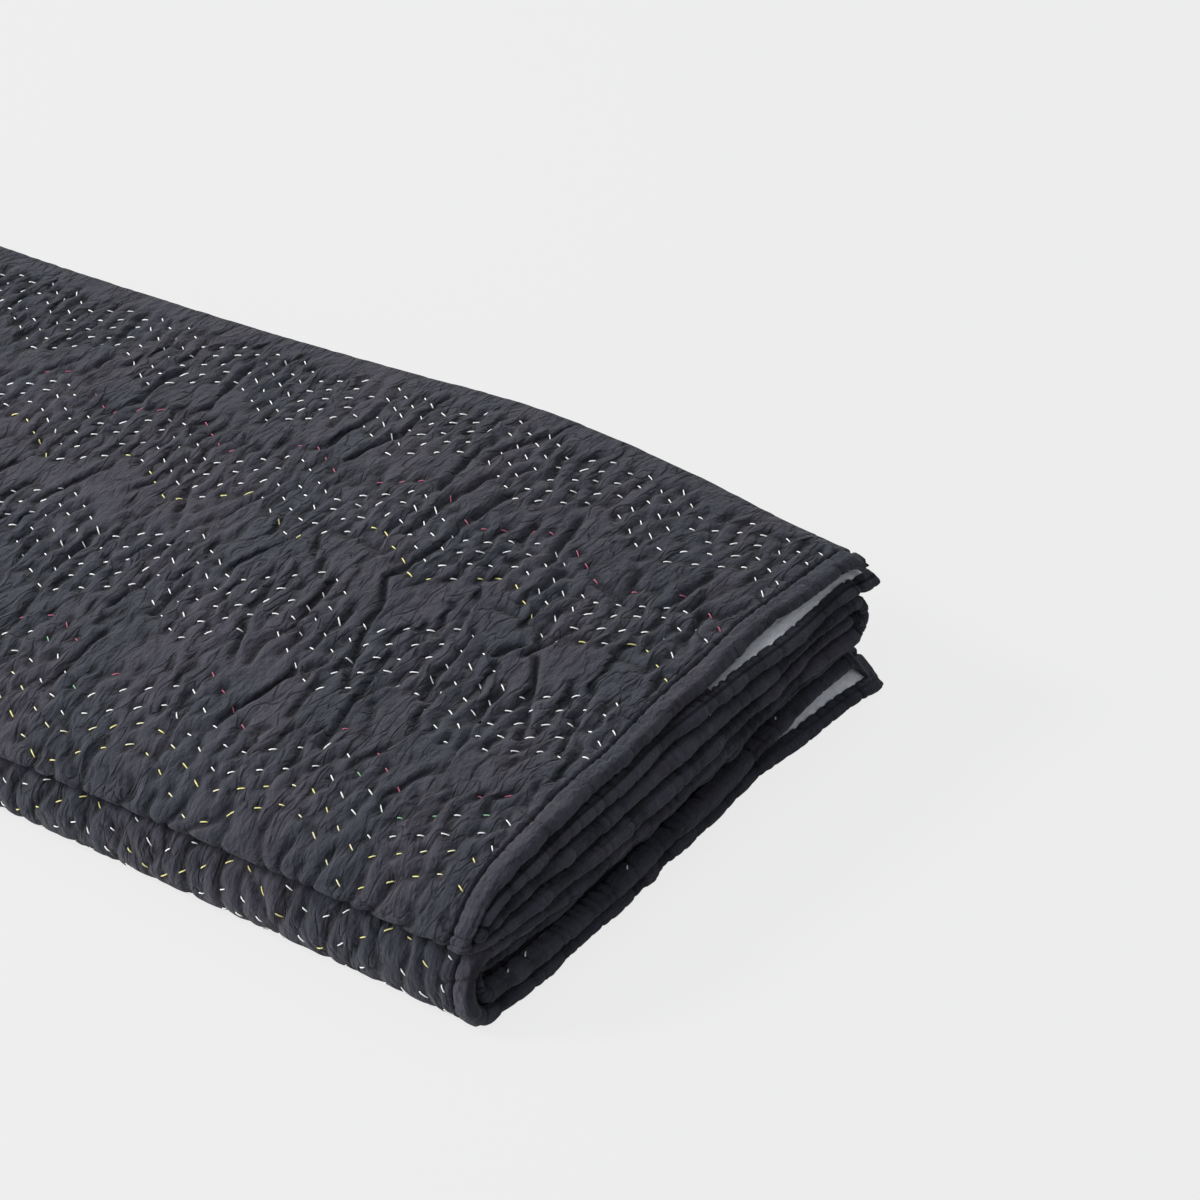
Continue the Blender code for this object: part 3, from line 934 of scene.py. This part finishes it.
# ---- threads --------------------------------------------------------------------------------------
THREAD_RADIUS = 0.00038
THREAD_SIDES = 6
THREAD_LIFT = (0.0001, 0.0005, 0.0006, 0.0005, 0.0001)
THREAD_END = 0.75              # of the full radius
THREAD_STRAIGHT = 0.9          # how little a stitch follows the puckers under it
THREADS = {
    # letter: slot, colour
    "W": ("white_thread", (0.90, 0.90, 0.89)),
    "C": ("yellow_thread", (0.84, 0.79, 0.52)),
    "Y": ("yellow_thread", (0.82, 0.76, 0.30)),
    "P": ("pink_thread", (0.40, 0.09, 0.16)),
    "G": ("green_thread", (0.22, 0.46, 0.28)),
}


def thread_mesh(name, stitches, surface, material):
    """Join a bent capsule for every stitch into one mesh."""
    shares = np.linspace(0, 1, len(THREAD_LIFT))
    points = []
    faces = []
    ring_count = len(shares)
    for a, va, b, vb, _ in stitches:
        base = len(points)
        middle, normals = surface(a + (b - a) * shares, va + (vb - va) * shares)
        straight = middle[1] + (middle[3] - middle[1]) * (2 * shares[:, None] - 0.5)
        normals = np.broadcast_to(normals.mean(0), normals.shape)
        middle = middle + (straight - middle) * THREAD_STRAIGHT + normals * np.array(THREAD_LIFT)[:, None]
        direction = np.gradient(middle, axis=0)
        direction /= np.linalg.norm(direction, axis=1, keepdims=True)
        side = np.cross(direction, normals)
        side /= np.linalg.norm(side, axis=1, keepdims=True)
        up = np.cross(side, direction)
        for k in range(ring_count):
            radius = THREAD_RADIUS * (THREAD_END if k in (0, ring_count - 1) else 1.0)
            for n in range(THREAD_SIDES):
                angle = 2 * math.pi * n / THREAD_SIDES
                points.append(middle[k] + radius * (side[k] * math.cos(angle)
                                                    + up[k] * math.sin(angle)))
        for k in range(ring_count - 1):
            for n in range(THREAD_SIDES):
                m = (n + 1) % THREAD_SIDES
                here, there = base + k * THREAD_SIDES, base + (k + 1) * THREAD_SIDES
                faces.append((here + n, there + n, there + m, here + m))
        faces.append([base + n for n in range(THREAD_SIDES)])
        last = base + (ring_count - 1) * THREAD_SIDES
        faces.append([last + n for n in reversed(range(THREAD_SIDES))])
    mesh = bpy.data.meshes.new(name)
    mesh.from_pydata([tuple(p) for p in points], [], faces)
    mesh.shade_smooth()
    mesh.materials.append(material)
    piece = bpy.data.objects.new(name, mesh)
    bpy.context.scene.collection.objects.link(piece)
    return piece


# ---- materials ------------------------------------------------------------------------------------
HALF_ROUND = 1.015             # from a right hem to the middle of the left crease, on the face
COTTONS = {
    # name: colour, colour of its patches, tint of the painted shade in its hollows, how crinkled it is and
    # how strongly thin painted crease shade lines darken it
    "face_cotton": ((0.028, 0.031, 0.042), (0.040, 0.037, 0.050), (0.40, 0.40, 0.43), 1.0),
    "reverse_cotton": ((0.92, 0.91, 0.93), (0.94, 0.93, 0.94), (1.0, 1.0, 1.0), 0.3),
}


def new_material(name):
    """An empty node material with its shader linked up."""
    material = bpy.data.materials.new(name)
    material.use_nodes = True
    return material, material.node_tree.nodes, material.node_tree.links


def cotton(name, colour, patch, hollow, crinkling_and_crease_shade):
    """Washed plain-weave cotton: soft patches, painted shade in its hollows, thin lines of painted crease
    shade, crinkling and a weave.
    """
    material, nodes, links = new_material(name)
    shader = nodes["Principled BSDF"]
    shader.inputs["Roughness"].default_value = 0.95
    shader.inputs["Sheen Weight"].default_value = 0.12
    shader.inputs["Sheen Roughness"].default_value = 0.6
    shader.inputs["Specular IOR Level"].default_value = 0.12
    place = nodes.new("ShaderNodeUVMap")
    place.uv_map = "cloth"

    def noise(scale, detail, stretch, roughness=0.55):
        turn = nodes.new("ShaderNodeMapping")
        turn.inputs["Scale"].default_value = (*stretch, 1.0)
        texture = nodes.new("ShaderNodeTexNoise")
        texture.inputs["Scale"].default_value = scale
        texture.inputs["Detail"].default_value = detail
        texture.inputs["Roughness"].default_value = roughness
        links.new(place.outputs["UV"], turn.inputs["Vector"])
        links.new(turn.outputs["Vector"], texture.inputs["Vector"])
        return texture.outputs["Fac"]

    def mixed(kind, factor, a, b):
        mix = nodes.new("ShaderNodeMix")
        mix.data_type = "RGBA"
        mix.blend_type = kind
        for socket, value in ((mix.inputs["Factor"], factor), (mix.inputs[6], a),
                              (mix.inputs[7], b)):
            if isinstance(value, (float, tuple)):
                socket.default_value = value
            else:
                links.new(value, socket)
        return mix.outputs[2]

    def ramp(value, low, high):
        steps = nodes.new("ShaderNodeMapRange")
        steps.interpolation_type = "SMOOTHSTEP"
        steps.inputs["From Min"].default_value = low
        steps.inputs["From Max"].default_value = high
        links.new(value, steps.inputs["Value"])
        return steps.outputs["Result"]

    def calculated(operation, a, b=None):
        math_node = nodes.new("ShaderNodeMath")
        math_node.operation = operation
        for socket, value in zip(math_node.inputs, (a, b)):
            if isinstance(value, float):
                socket.default_value = value
            elif value is not None:
                links.new(value, socket)
        return math_node.outputs["Value"]

    def folds(scale, stretch, width):
        """Thin lines where a stretched noise crosses its middle: 0 on them, 1 off them."""
        away = calculated("ABSOLUTE", calculated("SUBTRACT", noise(scale, 1.0, stretch), 0.5))
        return ramp(away, 0.0, width)

    patches = ramp(noise(26.0, 4.0, (1.0, 0.35)), 0.38, 0.64)
    tint = mixed("MIX", patches, (*colour, 1.0), (*patch, 1.0))
    # painted shade: the colour darkens to the hollow tint in the hollows of the relief
    cavity_shade = nodes.new("ShaderNodeAttribute")
    cavity_shade.attribute_name = "cavity_shade"
    shade = mixed("MIX", ramp(cavity_shade.outputs["Fac"], 0.05, 0.55), (*hollow, 1.0), (1.0, 1.0, 1.0, 1.0))
    tint = mixed("MULTIPLY", 1.0, tint, shade)
    slubs = ramp(noise(900.0, 3.0, (1.0, 0.25), 0.7), 0.30, 0.72)
    grain = mixed("MIX", slubs, (0.86, 0.86, 0.87, 1.0), (1.12, 1.12, 1.13, 1.0))
    tint = mixed("MULTIPLY", 1.0, tint, grain)
    parts = nodes.new("ShaderNodeSeparateXYZ")
    links.new(place.outputs["UV"], parts.inputs["Vector"])
    away = calculated("ABSOLUTE", calculated("SUBTRACT", parts.outputs["X"], HALF_ROUND))
    hem = ramp(away, HALF_ROUND - HEM - 0.003, HALF_ROUND - HEM + 0.002)
    lines = calculated("MULTIPLY", folds(62.0, (1.0, 0.30), 0.050), folds(112.0, (1.0, 0.30), 0.038))
    smoother = calculated("MAXIMUM", hem, lines)
    fine = calculated("MAXIMUM", smoother, ramp(noise(17.0, 1.0, (1.0, 0.7)), 0.50, 0.68))
    # painted shade: thin dark lines where the fold lines run darken the colour; the same lines also bump
    # the surface
    tint = mixed("MULTIPLY", crinkling_and_crease_shade, tint, mixed("MIX", fine, (0.62, 0.62, 0.65, 1.0),
                                                   (1.0, 1.0, 1.0, 1.0)))
    links.new(tint, shader.inputs["Base Color"])

    across = calculated("MULTIPLY", hem, noise(270.0, 2.0, (0.22, 1.0), 0.5))
    previous = None
    for height, distance in (
            (across, 0.0009 * crinkling_and_crease_shade),
            (fine, 0.0010 * crinkling_and_crease_shade),
            (noise(105.0, 3.0, (1.0, 0.42), 0.5), 0.0054 * crinkling_and_crease_shade),
            (noise(330.0, 4.0, (1.0, 0.7), 0.6), 0.0016 * crinkling_and_crease_shade),
            (noise(1500.0, 2.0, (1.0, 1.0), 0.6), 0.0003)):
        bump = nodes.new("ShaderNodeBump")
        bump.inputs["Strength"].default_value = 1.0
        bump.inputs["Distance"].default_value = distance
        links.new(height, bump.inputs["Height"])
        if previous is not None:
            links.new(previous, bump.inputs["Normal"])
        previous = bump.outputs["Normal"]
    links.new(previous, shader.inputs["Normal"])
    return material


def thread(name, colour):
    """Soft stranded cotton thread."""
    material, nodes, links = new_material(name)
    shader = nodes["Principled BSDF"]
    shader.inputs["Base Color"].default_value = (*colour, 1)
    shader.inputs["Roughness"].default_value = 0.8
    shader.inputs["Sheen Weight"].default_value = 0.2
    return material


# ---- stage ----------------------------------------------------------------------------------------
CAMERA_AZIMUTH = 34.98
CAMERA_ELEVATION = 34.96
CAMERA_DISTANCE = 2.6
CAMERA_TARGET = (0.351, 0.133, 0.03)
CAMERA_LENS = 135.57
WORLD_STRENGTH = 0.29
LIGHTS = (
    # place, size, power, colour
    ("key", (-2.3, -1.5, 2.1), 1.1, 134.0, (1.0, 0.985, 0.96)),
    ("top", (0.0, 1.1, 3.0), 1.6, 36.0, (0.95, 0.97, 1.0)),
    ("front", (0.5, -2.8, 1.0), 1.6, 30.0, (0.95, 0.97, 1.0)),
)
FLOOR_GLOW = 0.876
FLOOR_EVENNESS = 0.90


def stage():
    """The floor, the lights and the camera."""
    scene = bpy.context.scene
    a, e = math.radians(CAMERA_AZIMUTH), math.radians(CAMERA_ELEVATION)
    back = Vector((math.sin(a) * math.cos(e), -math.cos(a) * math.cos(e), math.sin(e)))
    right = Vector((math.cos(a), math.sin(a), 0))
    up = back.cross(right)
    camera = bpy.data.objects.new("camera", bpy.data.cameras.new("camera"))
    place = Vector(CAMERA_TARGET) + back * CAMERA_DISTANCE
    camera.matrix_world = Matrix(((right.x, up.x, back.x, place.x),
                                  (right.y, up.y, back.y, place.y),
                                  (right.z, up.z, back.z, place.z), (0, 0, 0, 1)))
    camera.data.sensor_width = 36
    camera.data.lens = CAMERA_LENS
    scene.collection.objects.link(camera)
    scene.camera = camera
    scene.view_settings.view_transform = "Standard"

    floor_mesh = bpy.data.meshes.new("floor")
    size = 8.0
    floor_mesh.from_pydata([(-size, -size, 0), (size, -size, 0), (size, size, 0), (-size, size, 0)],
                           [], [(0, 1, 2, 3)])
    floor = bpy.data.objects.new("floor", floor_mesh)
    floor_mesh.materials.append(floor_paint())
    scene.collection.objects.link(floor)
    floor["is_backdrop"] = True

    world = bpy.data.worlds.new("studio")
    scene.world = world
    world.use_nodes = True
    world.node_tree.nodes["Background"].inputs["Color"].default_value = (0.86, 0.92, 1.0, 1)
    world.node_tree.nodes["Background"].inputs["Strength"].default_value = WORLD_STRENGTH
    for name, place, size, power, colour in LIGHTS:
        light = bpy.data.objects.new(name, bpy.data.lights.new(name, "AREA"))
        light.data.shape = "DISK"
        light.data.size = size
        light.data.energy = power
        light.data.color = colour
        light.location = place
        aim = Vector((0.1, 0.0, 0.05)) - Vector(place)
        light.rotation_euler = aim.to_track_quat("-Z", "Y").to_euler()
        scene.collection.objects.link(light)


def floor_paint():
    """A pale seamless paper that is lit evenly, so that only a faint shadow falls on it."""
    material, nodes, links = new_material("floor")
    paper = nodes["Principled BSDF"]
    paper.inputs["Base Color"].default_value = (0.55, 0.55, 0.55, 1)
    paper.inputs["Roughness"].default_value = 1.0
    paper.inputs["Specular IOR Level"].default_value = 0.0
    glow = nodes.new("ShaderNodeEmission")
    glow.inputs["Color"].default_value = (FLOOR_GLOW, FLOOR_GLOW, FLOOR_GLOW, 1)
    rays = nodes.new("ShaderNodeLightPath")
    share = nodes.new("ShaderNodeMath")
    share.operation = "MULTIPLY"
    share.inputs[1].default_value = FLOOR_EVENNESS
    mix = nodes.new("ShaderNodeMixShader")
    links.new(rays.outputs["Is Camera Ray"], share.inputs[0])
    links.new(share.outputs["Value"], mix.inputs["Fac"])
    links.new(paper.outputs["BSDF"], mix.inputs[1])
    links.new(glow.outputs["Emission"], mix.inputs[2])
    links.new(mix.outputs["Shader"], nodes["Material Output"].inputs["Surface"])
    return material


# ---- the whole quilt ------------------------------------------------------------------------------
HOLLOW = 0.0050                # no hollow goes deeper into a layer
HOLLOW_AT_FRONT = 0.0032
HOLLOW_SHADE = 0.0022          # relief over which the painted shade runs from the darkest hollow to an unshaded rise
LEAST_CAP = 0.0007             # of the rises where layers lie close
LOWEST = 0.0007                # height of any point
PAST_FRONT = 0.040             # how far the puckers run on into the pile past a front fold
PAST_BACK = 0.030              # and past the back fold
ZONE_FADE = 0.02
CALM_PAST = 0.020
LEFT_GATHERS = 0.0090          # mean space between gathers at the left crease
HEM_GATHERS = 0.0074           # and across the hems
PUFF = 0.0006                  # unevenness along a hem, and how far apart it is drawn
PUFF_SPACING = 0.012
HEM_DOME = 0.0007
GROOVE_DEPTH = 0.0025
GROOVE_HALF = 0.0010


def soft_cap(height, cap):
    """Keep rises under a cap, softly; hollows stay."""
    return np.where(height > 0, cap * np.tanh(height / cap), height)


def directions(points):
    """Unit vectors at every point: round the doubled cloth, down its path and outward."""
    tangent_u = np.roll(points, -1, 0) - np.roll(points, 1, 0)
    tangent_u /= np.linalg.norm(tangent_u, axis=-1, keepdims=True)
    tangent_v = np.gradient(points, axis=1)
    tangent_v /= np.linalg.norm(tangent_v, axis=-1, keepdims=True)
    normal = np.cross(tangent_u, tangent_v)
    normal /= np.linalg.norm(normal, axis=-1, keepdims=True)
    return tangent_u, tangent_v, normal


def pucker_zones(path):
    """The three stretches of the cloth that show, with what pucker needs for each."""
    v = path["v"]
    starts = path["starts"]
    rng = np.random.default_rng(11)
    top_end = v[starts["pass_2"]] + PAST_FRONT
    top_stitches = stitch_rows(BANDS, rng, SIDE_CLEAR, top_end - ZONE_FADE)
    low_start = v[starts["fold_3"]] - PAST_FRONT
    low_stitches = stitch_rows(LOWER_BANDS, rng, low_start + ZONE_FADE / 2, v[-1] - SIDE_CLEAR)
    back_start, back_end = v[starts["fold_2"]] - PAST_BACK, v[starts["pass_3"]] + PAST_BACK
    back_stitches = stitch_rows(BACK_BANDS, rng, back_start + ZONE_FADE / 2, back_end - ZONE_FADE / 2)
    first_fold = (v[starts["fold_1"]] - 0.036, v[starts["pass_2"]] + CALM_PAST)
    third_fold = (v[starts["fold_3"]] - CALM_PAST, v[starts["pass_4"]] + CALM_PAST)
    top_creases = list(CREASES) + nose_creases(rng, v[starts["fold_1"]] - 0.004, v[starts["pass_2"]])
    low_creases = nose_creases(rng, v[starts["fold_3"]], v[starts["pass_4"]])
    back_creases = nose_creases(rng, v[starts["fold_2"]], v[starts["pass_3"]])
    back_fold = (back_start, back_end)
    return (
        # zone, stitches, creases, calm, from, to, seed
        ("outer_face", top_stitches, top_creases, first_fold, 0.0, top_end, 3),
        ("outer_face", low_stitches, low_creases, third_fold, low_start, v[-1], 5),
        ("inner_face", back_stitches, back_creases, back_fold, back_start, back_end, 7),
    )


def relief(shown, ring, path):
    """How far the puckers of the zones that show move every point out, along u and along v."""
    v = path["v"]
    height, shift_u, shift_v = np.zeros((3, len(ring["place"]), len(v)))
    steps = 300
    for zone, stitches, creases, calm, low, high, seed in shown:
        z0, z1 = ring["zones"][zone]
        count = int((high - low) / V_STEP) + 1
        moved = pucker(stitches, creases, calm, low, count, seed, steps)
        inside = np.where((v >= low) & (v <= high))[0]
        read = sample(moved, ring["place"][z0:z1], v[inside], low)
        fade = smooth((v[inside] - low) / ZONE_FADE) if low > 0 else np.ones(len(inside))
        if high < v[-1]:
            fade = fade * smooth((high - v[inside]) / ZONE_FADE)
        mean = moved[..., 2].mean()
        height[z0:z1, inside] = (read[..., 2] - mean) * fade
        toward_u = 1.0 if zone == "outer_face" else -1.0
        shift_u[z0:z1, inside] = read[..., 0] * fade * toward_u
        shift_v[z0:z1, inside] = read[..., 1] * fade
    return height, shift_u, shift_v


def limited(height, ring, path):
    """The relief kept small where another layer lies close."""
    starts = path["starts"]
    a0, a1 = ring["zones"]["outer_face"]
    cap = np.full(len(path["v"]), LEAST_CAP)
    cap[:starts["fold_1"]] = 1.0
    for fold, after in (("fold_1", "pass_2"), ("fold_3", "pass_4")):
        span = np.arange(starts[fold], starts[after])
        angle = (span - span[0]) / len(span)
        if fold == "fold_1":
            cap[span] = LEAST_CAP + 0.006 * smooth((0.85 - angle) / 0.35)
            height[a0:a1, span] *= 1 - 0.45 * smooth((angle - 0.40) / 0.30)
        else:
            cap[span] = LEAST_CAP + 0.006 * smooth((angle - 0.15) / 0.35)
            height[a0:a1, span] *= 1 - 0.65 * smooth((angle - 0.40) / 0.30)
    cap[starts["pass_4"]:] = 0.0030
    height[a0:a1, starts["pass_4"]:] *= 0.35
    height[a0:a1] = soft_cap(height[a0:a1], cap[None, :])
    deepest = HOLLOW_AT_FRONT + (HOLLOW - HOLLOW_AT_FRONT) * smooth((path["y"] - 0.03) / 0.06)
    return -soft_cap(-height, deepest[None, :])


def turned_left(height, ring, path):
    """Run the relief on round the left crease, with gathers of its own."""
    t0, t1 = ring["zones"]["turn"]
    a1 = ring["zones"]["outer_face"][1]
    c0 = ring["zones"]["inner_face"][0]
    v = path["v"]
    share = (np.arange(t0, t1) - t0 + 1)[:, None] / (t1 - t0 + 1)
    height[t0:t1] = height[a1 - 1] * (1 - share) + height[c0] * share
    rows = gathers(np.random.default_rng(23), v[-1], LEFT_GATHERS)
    crease_way = np.abs(ring["place"] - CREASE_PLACE)
    columns = np.where((crease_way < 0.040) & ~ring["reverse"])[0]
    from_turn = crease_way[columns] * (ring["place"][columns] < CREASE_PLACE)
    height[columns] -= gathered(rows, v[None, :], from_turn[:, None], 0.0)


def hemmed(height, shift_u, ring, path):
    """Make the hems smoother and domed, with a sharp groove and gathers across them."""
    v = path["v"]
    place = ring["place"][:, None]
    on_top = (v < v[path["starts"]["pass_2"]])[None, :]
    inland = np.minimum(place, np.where(on_top, v[None, :] + 0.002, 1.0))
    height *= 0.15 + 0.85 * smooth((inland - HEM) / 0.012)
    shift_u *= smooth((place - HEM) / 0.012)
    round_back = smooth((path["y"] - DEPTH + 0.030) / 0.02)[None, :]
    for inner, seed in ((False, 21), (True, 22)):
        rng = np.random.default_rng(seed)
        rows = gathers(rng, v[-1], HEM_GATHERS)
        turned = ring["reverse"] & (ring["place"] <= HEM_TURN)
        face = ~ring["reverse"] & (ring["place"] < 0.045)
        columns = np.where((ring["inner"] == inner) & (face | turned))[0]
        cloth = np.where(ring["place"][columns] < LAYER / 2, 0, ring["place"][columns])
        depth = gathered(rows, v[None, :], cloth[:, None], HEM)
        height[columns] -= depth * (0.4 + 0.6 * np.maximum(smooth(cloth / HEM)[:, None], round_back))
        knots = rng.normal(0, PUFF, int(v[-1] / PUFF_SPACING) + 2)
        puff = np.interp(v, np.arange(len(knots)) * PUFF_SPACING, knots)
        height[columns] += puff[None, :] * smooth(1 - cloth / HEM)[:, None]
        dome = HEM_DOME * (1 - ((cloth - 0.5 * HEM) / (0.5 * HEM)) ** 2)
        dome = np.where(ring["reverse"][columns], 0.0, np.maximum(dome, 0.0))
        groove = GROOVE_DEPTH * np.exp(-((cloth - HEM) / GROOVE_HALF) ** 2)
        height[columns] += (dome - groove)[:, None]


def puckered(points, shown, ring, path):
    """Move every point to where its puckers and gathers put it, with its way out and how much painted shade
    its hollow gets.
    """
    tangent_u, tangent_v, normal = directions(points)
    height, shift_u, shift_v = relief(shown, ring, path)
    height = limited(height, ring, path)
    turned_left(height, ring, path)
    hemmed(height, shift_u, ring, path)
    height *= path["full"][None, :]
    moved = (points + shift_u[..., None] * tangent_u + shift_v[..., None] * tangent_v
             + height[..., None] * normal)
    moved[..., 2] = np.maximum(moved[..., 2], LOWEST)
    a0, a1 = ring["zones"]["outer_face"]
    # painted shade: how far each point lies below its blurred surroundings, for darkening the colour in its
    # hollows
    hollow = height.copy()
    hollow[a0:a1] -= blurred(height[a0:a1], 4.0, 5.0)
    hollow = np.clip(0.5 + hollow / HOLLOW_SHADE, 0.0, 1.0)
    return moved, normal, hollow


def surface_reader(points, normal, ring, path, zone):
    """A function that gives the place and the outward way at any u and v of a zone."""
    a0, a1 = ring["zones"][zone]
    points, normal = points[a0:a1], normal[a0:a1]
    columns = ring["place"][a0:a1]
    if columns[0] > columns[-1]:
        points, normal, columns = points[::-1], normal[::-1], columns[::-1]

    def read(u, v):
        k = np.clip(np.searchsorted(columns, u) - 1, 0, len(columns) - 2)
        s = np.clip(np.searchsorted(path["v"], v) - 1, 0, len(path["v"]) - 2)
        a = ((u - columns[k]) / (columns[k + 1] - columns[k]))[:, None]
        b = ((v - path["v"][s]) / (path["v"][s + 1] - path["v"][s]))[:, None]
        found = []
        for field in (points, normal):
            near = field[k, s] * (1 - a) + field[k + 1, s] * a
            far = field[k, s + 1] * (1 - a) + field[k + 1, s + 1] * a
            found.append(near * (1 - b) + far * b)
        return found[0], found[1]

    return read


def main():
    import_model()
    low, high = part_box("quilt")
    ring = ring_columns()
    path = cloth_path()
    points = base_points(ring, path)
    points[..., 0] += low.x + CREASE_PLACE + MIDDLE + LAYER / 2
    points[..., 1] += high.y - (DEPTH + SIDE_REACH)
    shown = pucker_zones(path)
    points, normal, hollow = puckered(points, shown, ring, path)
    top_stitches, low_stitches, back_stitches = (row[1] for row in shown)

    cottons = [cotton(name, *looks) for name, looks in COTTONS.items()]
    cut = path["starts"]["pass_2"] + CUT_AFTER
    upper = skin("quilt_upper", points, hollow, ring, path, 0, cut, cottons)
    lower = skin("quilt_lower", points, hollow, ring, path, cut, len(path["y"]) - 1, cottons)
    widths = {upper: path["v"][cut], lower: path["v"][-1] - path["v"][cut]}
    for piece in widths:
        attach(piece, "root")
    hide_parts("quilt")
    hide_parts("quilt")

    face_surface = surface_reader(points, normal, ring, path, "outer_face")
    back_surface = surface_reader(points, normal, ring, path, "inner_face")
    riders = {upper: [], lower: []}
    for where, stitches, body, surface in (
            ("upper", top_stitches, upper, face_surface),
            ("lower", low_stitches + edge_stitches(path, "outer_face"), lower, face_surface),
            ("back", back_stitches + edge_stitches(path, "inner_face"), lower, back_surface)):
        for letter, (slot, colour) in THREADS.items():
            chosen = [s for s in stitches if s[4] == letter]
            if not chosen:
                continue
            name = f"thread_{letter.lower()}_{where}"
            piece = thread_mesh(name, chosen, surface, thread(name, colour))
            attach(piece, "root")
            riders[body].append(piece)
    stage()
    low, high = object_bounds()


main()
